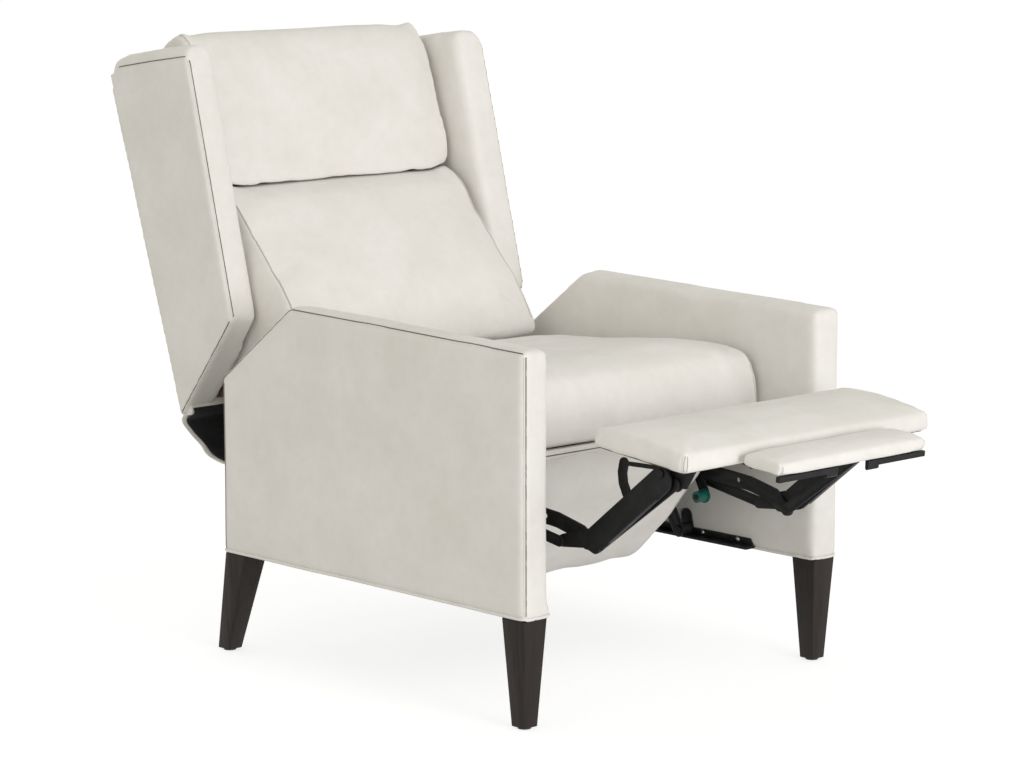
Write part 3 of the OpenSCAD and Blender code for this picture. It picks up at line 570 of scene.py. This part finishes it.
def stretched_to(ob, view, place, half_width, bottom, top):
    """Brings a swollen cushion back to the real width and height of its solid."""
    seen = [view(v.co) for v in ob.data.vertices]
    lowest = min(high for _, high in seen)
    highest = max(high for _, high in seen)
    widest = max(abs(v.co.x) for v in ob.data.vertices)
    for v, (deep, high) in zip(ob.data.vertices, seen):
        x = v.co.x * half_width / (widest * 1000)
        v.co = place(x * 1000, deep,
                     bottom + (high - lowest) * (top - bottom) / (highest - lowest))


def eared(ob, spots, radius, height, up):
    """Draws the sewn corners of a cushion out into small points; up is a millimetre long."""
    for v in ob.data.vertices:
        for spot in spots:
            v.co += up * height * math.exp(-((v.co - spot).length / radius) ** 2)


def cushion(name, node, body, voxel, inset, cap, held, keep, sewing=(), folds=(),
            shape=None, start=None):
    """A pad blown up from its solid and kept in the solid's space, its seams sewn after.

    The skin is first drawn in by the inset, and no point of it swells further than the cap.
    """
    ob = piece(name, start or node_copy(node))
    remeshed(ob, voxel)
    softened(ob, 2)
    mesh = ob.data
    normals = [v.normal.copy() for v in mesh.vertices]
    for v, n in zip(mesh.vertices, normals):
        v.co -= n * inset * (1 - held(v.co))
    full = [v.co + n * inset * (1 - held(v.co)) for v, n in zip(mesh.vertices, normals)]
    inflated(ob, held, cap)
    for v, co in zip(ob.data.vertices, full):
        v.co = co.lerp(v.co, SWELL)
    softened(ob, 2)
    finer(ob)
    if shape:
        shape(ob)
    for v in ob.data.vertices:
        v.co = keep(v.co)
    groove(ob, sewing, width=0.004, depth=0.0022)
    for line, width, depth in folds:
        groove(ob, [line], width, depth)
    waved(ob, depth=0.0011, scale=11.0, seed=len(name))
    for v in ob.data.vertices:
        v.co = keep(v.co)
    dress(ob, LEATHER, body, (node,))
    if sewing:
        sewn(ob, body, sewing, SOFT_SEAM_SHADE, shade_radius=0.0008)
    return ob


def rear_panel_front(w):
    """Depth of the rear panel's front face at a height along the back."""
    return 165 + 45 * (w + 144) / 646


def cushion_rest(w):
    """Depth at which the back cushions rest on the rails."""
    return rear_panel_front(w) - 24.4


def kept_in_back(co, half, bottom, top):
    """Keeps a place of a back cushion between the wings, its two ends and its rest."""
    deep, high = back_view(co)
    high = limited(high, bottom, top)
    return in_back(limited(co.x * 1000, -half, half), min(deep, cushion_rest(high)), high)


# A hold gives 1 where the skin of a pad is fixed to its frame; a keep returns a place that is
# moved back into the space of the pad's solid.
def back_hold(co):
    deep, high = back_view(co)
    return 1.0 if deep > cushion_rest(high) - 9 else 0.0


def deck_hold(co):
    return 1.0 if deck_view(co)[1] < 8 else 0.0


def deck_keep(co):
    deep, high = deck_view(co)
    return in_deck(limited(co.x * 1000, -315, 315), limited(deep, -8, 556),
                   max(high, SEAT_ENDS[0]))


def pad_hold(low):
    def hold(co):
        return 1.0 if pad_view(co)[1] < low + 5 else 0.0
    return hold


def pad_keep(low, front, rear):
    def keep(co):
        deep, high = pad_view(co)
        return in_pad(co.x * 1000, limited(deep, front, rear), max(high, low))
    return keep


# Sewn lines as (x, depth, height) in the tilted frame of a pad, mirrored to both sides
SEAT_SEAM = [(300, 4, 6), (300, 0, 60), (299, 8, 112), (302, 60, 126), (304, 200, 128),
             (304, 400, 124), (303, 450, 120)]
HEADREST_SEAM = [(276, 66, 262), (277, 54, 300), (277, 57, 400), (277, 66, 466), (276, 86, 514),
                 (274, 112, 530)]
LUMBAR_SEAM = [(277, 60, 240), (277, 22, 210), (277, -8, 158), (277, -42, 100), (277, -78, 36),
               (277, -99, -24), (277, -105, -64)]
PAD_FRONT_SEAM = [(289, -104, 30), (288, -104.5, 58)]
PAD_SIDE_SEAM = [(294, -98, 30), (293, -98, 58)]
FLAP_SEAM = [(171, -200, 34), (170, -200, 51)]

# Creases of the lumbar cushion: line, width and depth
LUMBAR_FOLDS = [([(-270, -104, -50), (-240, -100, -20), (-205, -90, 10)], 0.009, 0.004),
                ([(262, -100, -60), (236, -100, -34), (210, -96, -14)], 0.009, 0.0035)]

# Side views (depth, height) of the footrest pad and of the room in it for the board
PAD_OUTLINE = [(-104, 27), (-105, 58), (-98, 63.5), (-64, 67), (0, 70.5), (62, 67), (96, 62.5),
               (102, 57), (102, 27)]
BOARD_OUTLINE = [(-93.6, 20), (-93.6, 38.7), (91.6, 38.7), (91.6, 20)]


def seams(place, *tables):
    """The sewn lines of a pad on both of its sides."""
    return [[place(s * x, v, w) for x, v, w in table] for table in tables for s in (-1, 1)]


def make_seat_pad():
    def shape(ob):
        stretched_to(ob, deck_view, in_deck, SEAT_HALF, *SEAT_ENDS)

    cushion("seat_pad", "seat_cushion", "carriage", voxel=0.0085, inset=0.009, cap=0.026,
            held=deck_hold, keep=deck_keep, sewing=seams(in_deck, SEAT_SEAM),
            shape=shape)


def headrest_lip(ob):
    """Squares the lower front edge and hangs it over the top of the lumbar cushion."""
    for v in ob.data.vertices:
        deep, high = back_view(v.co)
        beside = abs(v.co.x) * 1000
        low = rise(high, 302, 260)
        squaring = 0.75 * (1 - 0.7 * rise(beside, 225, 275)) * low * rise(deep, 84, 64)
        deep -= squaring * max(deep - 50, 0)
        settled = (9.0 - 4.0 * rise(beside, 245, 270)) * rise(deep, 100, 80)
        drop = (settled + 1.3 * max(74 - deep, 0)) * low
        v.co = in_back(v.co.x * 1000, deep, high - drop)


def make_headrest_pad():
    def shape(ob):
        stretched_to(ob, back_view, in_back, CUSHION_SEWN_HALF, *HEADREST_ENDS)
        up = in_back(0, -0.3, 1) - in_back(0, 0, 0)
        eared(ob, [in_back(s * 272, 104, 528) for s in (-1, 1)], 0.016, 9.0, up)
        headrest_lip(ob)
        eared(ob, [in_back(s * 276, 58, 244) for s in (-1, 1)], 0.036, 10.0, -up)

    def keep(co):
        return kept_in_back(co, CUSHION_HALF, 226, 545)

    cushion("headrest_pad", "headrest_cushion", "back", voxel=0.0075, inset=0.009, cap=0.026,
            held=back_hold, keep=keep, sewing=seams(in_back, HEADREST_SEAM),
            shape=shape)


def make_lumbar_pad():
    def shape(ob):
        stretched_to(ob, back_view, in_back, CUSHION_SEWN_HALF, *LUMBAR_ENDS)
        up = in_back(0, 0, 1) - in_back(0, 0, 0)
        out = in_back(1, 0, 0) - in_back(0, 0, 0)
        eared(ob, [in_back(s * 276, 60, 246) for s in (-1, 1)], 0.042, 20.0, up)
        for s in (-1, 1):
            eared(ob, [in_back(s * 284, -96, -94)], 0.046, 11.0, out * s - up * 0.4)

    def keep(co):
        clear_of_wing = rise(back_view(co)[0], -30, -70)
        return kept_in_back(co, CUSHION_HALF + 10 * clear_of_wing, -110, LUMBAR_ENDS[1])

    folds = [([in_back(*spot) for spot in line], width, depth)
             for line, width, depth in LUMBAR_FOLDS]
    cushion("lumbar_pad", "lumbar_cushion", "back", voxel=0.0085, inset=0.009, cap=0.026,
            held=back_hold, keep=keep, sewing=seams(in_back, LUMBAR_SEAM),
            folds=folds, shape=shape)


def make_footrest_pads():
    slab = side_slab(PAD_OUTLINE, -294.5, 294.5, in_pad)
    slab_edges = [e for e in slab.edges if e.calc_face_angle(0.0) > 0.5]
    bmesh.ops.bevel(slab, geom=slab_edges, offset=0.005, offset_type="OFFSET", affect="EDGES",
                    segments=3, profile=0.5, material=-1)
    pad = cushion("footrest_top_pad", "footrest_pad", "footrest", voxel=0.0062, inset=0.005,
                  cap=0.014, held=pad_hold(40.0), keep=pad_keep(27, -108, 104),
                  sewing=seams(in_pad, PAD_FRONT_SEAM, PAD_SIDE_SEAM), start=slab)
    board = piece("board_room", side_slab(BOARD_OUTLINE, -284.6, 284.6, in_pad))
    mod = pad.modifiers.new("Room for the board", "BOOLEAN")
    mod.operation = "DIFFERENCE"
    mod.object = board
    baked(pad)
    bpy.data.objects.remove(board)

    cushion("front_flap_pad", "front_flap", "flap", voxel=0.005, inset=0.004, cap=0.010,
            held=pad_hold(30.0), keep=pad_keep(30.0, -204, -110.5),
            sewing=seams(in_pad, FLAP_SEAM))


# Upholstered frames
def bulged(ob, centre_x, half_x, face, depth):
    """Rounds out the two big faces of an upholstered panel."""
    for v in ob.data.vertices:
        share = limited(face(v.co), 0.0, 1.0)
        s = (v.co.x * 1000 - centre_x) / half_x
        if abs(s) > 0.9:
            v.co.x += math.copysign(depth * 0.001 * share, s)


def upholstered(name, bm, voxel, rounds, body, stands_for, seed):
    """An even leather skin over a frame part, its edges rounded by some rounds of softening."""
    ob = piece(name, bm)
    remeshed(ob, voxel)
    softened(ob, rounds)
    waved(ob, depth=0.0008, scale=9.0, seed=seed)
    dress(ob, LEATHER, body, stands_for)
    return ob


def arm_top(y):
    """Height of an arm's upper edge."""
    bend, high = ARM_BEND
    if y < bend:
        return ARM_FRONT_TOP + (high - ARM_FRONT_TOP) * y / bend
    return high - (high - ARM_REAR_TOP) * (y - bend) / (ARM_REAR - bend)


def flat_for_buttons(ob):
    """Draws the leather in where the plate with the two buttons sits on it."""
    for v in ob.data.vertices:
        y = v.co.y * 1000 + ORIGIN_DEPTH
        beside = math.hypot(y - limited(y, *BUTTON_DEPTHS), v.co.z * 1000 - BUTTON_HEIGHT)
        if v.co.x * 1000 > -ARM_X:
            v.co.x = min(v.co.x, (-ARM_INNER + 0.12 * max(beside - 23, 0)) * 0.001)


def make_piping(arm, side, sign):
    """The round cord along the lower edge of an arm."""
    foot = ((-29.5, 4), (-29.5, 764), (29.5, 764), (29.5, 4), (25, 0.5), (-25, 0.5))
    route = [at(sign * ARM_X + sign * beside, y, PIPING_HEIGHT) for beside, y in foot]
    bm = bmesh.new()
    spots = on_skin(tree_of(arm), route + route[:1])
    tube(bm, spots, radius=0.0028, sink=0.2, closed=True)
    bmesh.ops.recalc_face_normals(bm, faces=bm.faces)
    dress(piece(f"{side}_arm_piping", bm), LEATHER, "base")


def make_arms():
    for side, sign in SIDES:
        x = sign * ARM_X
        bm = side_slab(ARM_SIDE, x - ARM_HALF + 0.4, x + ARM_HALF - 0.4)
        bmesh.ops.bevel(bm, geom=bm.edges[:], offset=0.004, offset_type="OFFSET", affect="EDGES",
                        segments=2, profile=0.5, material=-1)
        ob = upholstered(f"{side}_arm_leather", bm, voxel=0.0065, rounds=3, body="base",
                         stands_for=(f"{side}_arm_cover",), seed=3 + sign)

        def plump(co):
            """0 at the edges of the arm's side, 1 well inside it."""
            y = co.y * 1000 + ORIGIN_DEPTH
            z = co.z * 1000
            edge = min(y, ARM_REAR - y, z - ARM_BOTTOM, arm_top(y) - z)
            return rise(edge, 0, 90) ** 0.6
        bulged(ob, x, ARM_HALF, plump, depth=1.6)
        softened(ob, 14, lambda co: sign * co.x * 1000 < ARM_X + 4 and co.z > 0.2)
        if side == "right":
            flat_for_buttons(ob)
        edge_x = x + sign * (ARM_HALF - 3.5)
        outer_x = x + sign * ARM_HALF
        front_seam = [at(edge_x, 0, z) for z in (192, 260, 340, 420, 500, 560, 612)]
        top_seam = [at(outer_x, y, z)
                    for y, z in ((4, 617), (290, 625), (576, 631.5), (763, 489.5))]
        rear_seam = [at(outer_x, 764, z) for z in (190, 330, 484)]
        sewn(ob, "base", [front_seam, top_seam, rear_seam])
        make_piping(ob, side, sign)


def panel_rear(w):
    """Depth of the rear panel's rear face at a height along the back."""
    return rear_panel_front(w) + 26


def wing_skin(node):
    """The wing with its leather drawn back over the side edge of the rear panel."""
    bm = node_copy(node)
    for v in bm.verts:
        deep, high = back_view(v.co)
        share = rise(deep, 0, rear_panel_front(high))
        low = 1 - rise(high, -121, 500)
        v.co = in_back(v.co.x * 1000, deep + WING_DRAWN_BACK * share,
                       high - WING_DRAWN_DOWN * share * low)
    return bm


def make_wings():
    for side, sign in SIDES:
        ob = upholstered(f"{side}_wing_leather", wing_skin(f"{side}_wing"), voxel=0.0055,
                         rounds=3, body="back", stands_for=(f"{side}_wing",), seed=7 + sign)

        def inner_front(co):
            return sign * co.x * 1000 < WING_X + 8 and back_view(co)[0] < 60

        def outer_front(co):
            return sign * co.x * 1000 > WING_X + 4 and back_view(co)[0] < 30

        def rear_top(co):
            deep, high = back_view(co)
            return deep > 196 and high > 462

        softened(ob, 24, inner_front)
        softened(ob, 4, outer_front)
        softened(ob, 40, rear_top)
        edge_x = sign * (WING_X + WING_HALF - 4)
        outer_x = sign * (WING_X + WING_HALF)
        front_seam = [in_back(edge_x, 0, w) for w in range(8, 480, 24)]
        top_seam = [in_back(outer_x, v, w) for v, w in ((6, 470), (100, 481), (200, 491))]
        low_seam = [in_back(outer_x, v, w) for v, w in ((4, -3), (90, -68), (182, -138))]
        sewn(ob, "back", [front_seam, top_seam, low_seam])


def near_side(x):
    """How far a place on the rear panel lies into its rounded side, from 0 to 1."""
    return rise(abs(x), 280, PANEL_HALF)


def make_back():
    ob = upholstered("rear_panel_leather", node_copy("back_panel"), voxel=0.0065, rounds=2,
                     body="back", stands_for=("back_panel",), seed=11)
    for v in ob.data.vertices:
        deep, high = back_view(v.co)
        x = limited(v.co.x * 1000, -PANEL_HALF, PANEL_HALF)
        v.co = in_back(x, deep, min(high, 502 - 18 * near_side(x) ** 2))
    across = range(-342, 343, 36)
    side_seams = [[in_back(s * 341, panel_rear(w), w) for w in range(-138, 482, 30)]
                  for s in (-1, 1)]
    top_seam = [in_back(x, 235, 496 - 17 * near_side(x) ** 2) for x in across]
    low_seam = [in_back(x, 192, -137) for x in across]
    sewn(ob, "back", side_seams + [top_seam, low_seam])


def make_front_rail():
    bm = bevelled(node_copy("seat_front_rail"), 0.004, 3)
    ob = piece("front_rail_leather", bm)
    shaded_by_angle(ob, 60)
    dress(ob, LEATHER, "carriage", ("seat_front_rail",))
    upper_seam = [at(x, 104, 424) for x in range(-262, 263, 36)]
    sewn(ob, "carriage", [upper_seam])


# Hanging leather
def smooth_route(turns, steps):
    """A smooth curve through the turns of a side view."""
    out = []
    for i in range(len(turns) - 1):
        a, b, c, d = (Vector(turns[limited(i + k, 0, len(turns) - 1)]) for k in (-1, 0, 1, 2))
        for k in range(steps):
            u = k / steps
            out.append(0.5 * (2 * b + (c - a) * u + (2 * a - 5 * b + 4 * c - d) * u * u
                              + (3 * b - a - 3 * c + d) * u ** 3))
    return out + [Vector(turns[-1])]


def hung(name, route, half_width, waves, depth, columns, seed, shift=0.0):
    """A sheet that follows a side view, with slow folds across its width."""
    rows = len(route) - 1
    bm = bmesh.new()
    bmesh.ops.create_grid(bm, x_segments=columns, y_segments=rows, size=1.0)
    length = sum((b - a).length for a, b in zip(route, route[1:]))
    for v in bm.verts:
        across = v.co.x
        along = (v.co.y + 1) / 2 * rows
        i = min(int(round(along)), rows)
        run = (route[min(i + 1, rows)] - route[max(i - 1, 0)]).normalized()
        lift = depth * math.sin(math.pi * i / rows)
        wave = lift * math.sin(waves * math.pi * across)
        fine = 0.8 * lift * noise.noise(Vector((across * 5, i * 0.12, seed)))
        spot = route[i] + Vector((-run.y, run.x)) * (wave + fine + shift)
        v.co = at(across * half_width(i / rows), spot.x, spot.y)
    bmesh.ops.recalc_face_normals(bm, faces=bm.faces)
    ob = piece(name, bm)
    mod = ob.modifiers.new("Sheet thickness", "SOLIDIFY")
    mod.thickness = SHEET_THICKNESS
    mod.offset = 0.0
    return ob, length


# Side views (depth, height) of the hanging leather; the tail's starts at the panel's lower edge
APRON_TURNS = [(136, 417), (140, 396), (147, 362), (162, 332), (187, 304), (212, 274), (236, 245),
               (260, 222), (286, 196), (318, 169), (349, 157), (379, 172), (396, 213), (404, 262),
               (412, 308)]
APRON_HALF = 196.0
TAIL_TURNS = [(-7, 5), (0, -6), (3, -22), (4, -41), (-1, -57), (-13, -69), (-31, -77),
              (-62, -82), (-106, -83)]


def in_side_view(co):
    return co.y * 1000 + ORIGIN_DEPTH, co.z * 1000


def make_apron():
    ob, length = hung("apron_leather", smooth_route(APRON_TURNS, 5), lambda t: APRON_HALF,
                      waves=3, depth=2.2, columns=56, seed=4.0)
    dress(ob, LEATHER, "carriage", ("seat_apron",))
    top_seam = [at(x, 138, 396) for x in range(-192, 193, 32)]
    sewn(ob, "carriage", [top_seam], SOFT_SEAM_SHADE, cord=0.0010, shade_radius=0.0008)


def tail_half(t):
    """Half width of the tail, which narrows below the panel so as to pass between the arms."""
    fall = rise(t, 0.1, 0.55)
    return TAIL_TOP_HALF - TAIL_NARROWING * fall * fall * (3 - 2 * fall)


def lining_half(t):
    """Half width of the lining, whose route starts one turn above the tail's."""
    return tail_half((9 * t - 1) / 8) - LINING_MARGIN


def make_tail():
    low = in_side_view(in_back(0, 191, -144))
    turns = [(low[0] + a, low[1] + b) for a, b in TAIL_TURNS]
    ob, length = hung("tail_leather", smooth_route(turns, 6), tail_half, waves=2, depth=1.5,
                      columns=60, seed=9.0)
    dress(ob, LEATHER, "back", ("tail_flap",))

    # black cloth inside the tail, from the panel's lower front edge
    edge = [in_side_view(in_back(0, rear_panel_front(w) + 2.2, w)) for w in (-134, -142)]
    ob, length = hung("tail_lining", smooth_route(edge + turns[1:], 6), lining_half, waves=2,
                      depth=1.5, columns=60, seed=9.0, shift=LINING_SHIFT)
    dress(ob, DUST_CLOTH, "back")


# Wood and mechanism
def make_wood_piece(name, node, segments):
    ob = piece(name, bevelled(node_copy(node), 0.0016, segments))
    dress(shaded_by_angle(ob, 50), LEG_WOOD, "base", (node,))


def make_legs():
    for node in ("front_right_leg", "front_left_leg", "rear_right_leg", "rear_left_leg"):
        make_wood_piece(f"{node}_wood", node, 3)
    make_wood_piece("stretcher_wood", "rear_stretcher", 2)


def body_of_node(node):
    for body, held in frame["record"]["behaviour"]["bodies"].items():
        if node in held:
            return body


PRESSED_KINDS = ("seat_plate", "lift_link", "guide_link", "front_link", "control_link",
                 "footrest_bracket", "back_bracket")


def make_pressed_links():
    """Links and plates with the soft edges of stamped and coated steel."""
    names = [f"{side}_{kind}" for kind in PRESSED_KINDS for side, _ in SIDES]
    names += [f"{end}_{side}_swing_link" for end in ("front", "rear") for side, _ in SIDES]
    for node in names:
        ob = piece(f"{node}_steel", bevelled(node_copy(node), 0.0006, 2, 40))
        dress(shaded_by_angle(ob, 30), STEEL, body_of_node(node), (node,))


def rivet(bm, p, x, outward, radius, height):
    """A flat rivet head with a rounded rim, its axis across the chair."""
    turn = Matrix.Rotation(math.radians(90), 4, "Y")
    turn.translation = at(x, *p) + Vector((outward * height / 2, 0, 0))
    made = bmesh.ops.create_cone(bm, cap_ends=True, segments=28, radius1=radius, radius2=radius,
                                 depth=height, matrix=turn)
    edges = dict.fromkeys(e for v in made["verts"] for e in v.link_edges)
    rim = [e for e in edges if e.calc_face_angle(0.0) > 1.0]
    bmesh.ops.bevel(bm, geom=rim, offset=height * 0.45, offset_type="OFFSET", affect="EDGES",
                    segments=3, profile=0.5, material=-1)


def screw(bm, spot, up, radius=0.0042, height=0.0018):
    """A plain tapered screw head, its axis along up."""
    up = up.normalized()
    turn = up.to_track_quat("Z", "Y").to_matrix().to_4x4()
    turn.translation = spot + up * height / 2
    bmesh.ops.create_cone(bm, cap_ends=True, segments=20, radius1=radius, radius2=radius * 0.72,
                          depth=height, matrix=turn)


# Rivet heads of each body: place in the side view, and distance from the chair's middle
RIVET_HEADS = {"carriage": [((254, 324), 248), ((560, 300), 248)],
               "footrest": [(PAD_PIVOT, 238.5)]}
RAIL_SCREW_DEPTHS = (176, 262, 372, 470, 590)


def make_fasteners():
    for body, places in RIVET_HEADS.items():
        bm = bmesh.new()
        for p, x in places:
            for s in (-1, 1):
                rivet(bm, p, s * x, s, radius=0.008, height=0.0024)
        dress(piece(f"{body}_rivet_heads", bm), STEEL, body)
    bm = bmesh.new()
    down = in_pad(0, 0, -1) - in_pad(0, 0, 0)
    for s in (-1, 1):
        for v in (-50, -8):
            screw(bm, in_pad(s * 205, v, 22), down)
        for k in (-1, 1):
            screw(bm, in_pad(s * 120 + k * 15, -84, 23.4), down, 0.0036, 0.0014)
    dress(piece("footrest_screws", bm), ZINC, "footrest")
    bm = bmesh.new()
    for s in (-1, 1):
        for y in RAIL_SCREW_DEPTHS:
            screw(bm, at(s * 312, y, 197), Vector((-s, 0, 0)), 0.0048, 0.002)
    dress(piece("base_rail_screws", bm), ZINC, "base")


# Studio
def camera():
    data = bpy.data.cameras.new("photo_camera")
    data.lens = LENS
    data.sensor_width = SENSOR
    data.clip_end = 100.0
    cam = bpy.data.objects.new("photo_camera", data)
    bpy.context.scene.collection.objects.link(cam)
    cam.location = at(*CAMERA_PLACE)
    yaw, down = math.radians(CAMERA_YAW), math.radians(CAMERA_DOWN)
    ahead = Vector((-math.sin(yaw) * math.cos(down), math.cos(yaw) * math.cos(down),
                    -math.sin(down)))
    look = ahead.to_track_quat("-Z", "Y").to_matrix() @ Matrix.Rotation(CAMERA_ROLL, 3, "Z")
    cam.rotation_euler = look.to_euler()
    bpy.context.scene.camera = cam


def seen_by_eye(tree):
    """1 where the ray comes from the camera, a reflection or a transmission."""
    path = tree.nodes.new("ShaderNodeLightPath")
    first = tree.nodes.new("ShaderNodeMath")
    first.operation = "MAXIMUM"
    tree.links.new(path.outputs["Is Camera Ray"], first.inputs[0])
    tree.links.new(path.outputs["Is Glossy Ray"], first.inputs[1])
    both = tree.nodes.new("ShaderNodeMath")
    both.operation = "MAXIMUM"
    tree.links.new(first.outputs[0], both.inputs[0])
    tree.links.new(path.outputs["Is Transmission Ray"], both.inputs[1])
    return both.outputs[0]


def area(name, place, aim, size, power, color=(1, 1, 1)):
    data = bpy.data.lights.new(name, "AREA")
    data.shape = "RECTANGLE"
    data.size, data.size_y = size
    data.energy = power
    data.color = color
    ob = bpy.data.objects.new(name, data)
    bpy.context.scene.collection.objects.link(ob)
    ob.location = place
    ob.rotation_euler = (Vector(aim) - Vector(place)).to_track_quat("-Z", "Y").to_euler()


def white_world():
    """Soft light all round; the eye and reflections see it as plain white."""
    world = bpy.data.worlds.new("studio")
    bpy.context.scene.world = world
    world.use_nodes = True
    tree = world.node_tree
    tree.nodes.clear()
    glow = tree.nodes.new("ShaderNodeBackground")
    glow.inputs["Color"].default_value = (1.0, 0.99, 0.92, 1)
    glow.inputs["Strength"].default_value = 0.66
    white = tree.nodes.new("ShaderNodeBackground")
    white.inputs["Strength"].default_value = 1.0
    white.inputs["Color"].default_value = (1, 1, 1, 1)
    mix = tree.nodes.new("ShaderNodeMixShader")
    tree.links.new(seen_by_eye(tree), mix.inputs["Fac"])
    tree.links.new(glow.outputs[0], mix.inputs[1])
    tree.links.new(white.outputs[0], mix.inputs[2])
    out = tree.nodes.new("ShaderNodeOutputWorld")
    tree.links.new(mix.outputs[0], out.inputs["Surface"])


def pale_floor():
    bm = bmesh.new()
    bmesh.ops.create_grid(bm, x_segments=1, y_segments=1, size=40.0)
    bmesh.ops.translate(bm, verts=bm.verts, vec=(0, 0, -0.0004))
    floor = piece("floor", bm, False)
    mat = bpy.data.materials.new("pale_floor")
    mat.use_nodes = True
    tree = mat.node_tree
    tree.nodes.clear()
    matte = tree.nodes.new("ShaderNodeBsdfDiffuse")
    matte.inputs["Color"].default_value = (0.8, 0.8, 0.8, 1)
    shine = tree.nodes.new("ShaderNodeEmission")
    shine.inputs["Color"].default_value = (1, 1, 1, 1)
    shine.inputs["Strength"].default_value = 1.52
    part = tree.nodes.new("ShaderNodeMath")
    part.operation = "MULTIPLY"
    part.inputs[1].default_value = 0.5
    tree.links.new(seen_by_eye(tree), part.inputs[0])
    mix = tree.nodes.new("ShaderNodeMixShader")
    tree.links.new(part.outputs[0], mix.inputs["Fac"])
    tree.links.new(matte.outputs[0], mix.inputs[1])
    tree.links.new(shine.outputs[0], mix.inputs[2])
    out = tree.nodes.new("ShaderNodeOutputMaterial")
    tree.links.new(mix.outputs[0], out.inputs["Surface"])
    floor.data.materials.append(mat)


def studio():
    bpy.context.scene.view_settings.view_transform = "Standard"
    white_world()
    pale_floor()
    area("key", (-0.6, -6.2, 1.3), aim=(0, 0, 0.6), size=(2.6, 2.6), power=184,
         color=(0.97, 0.975, 1.0))
    area("side", (-5.8, -0.9, 1.5), aim=(0, 0, 0.6), size=(2.4, 2.4), power=27,
         color=(1.0, 0.99, 0.9))
    area("top", (0.2, -0.6, 4.4), aim=(0, 0, 0.4), size=(2.6, 2.6), power=6)


camera()
carried_finishes()
make_seat_pad()
make_headrest_pad()
make_lumbar_pad()
make_footrest_pads()
make_arms()
make_wings()
make_back()
make_front_rail()
make_apron()
make_tail()
make_legs()
make_pressed_links()
make_fasteners()
finish_seams()
studio()
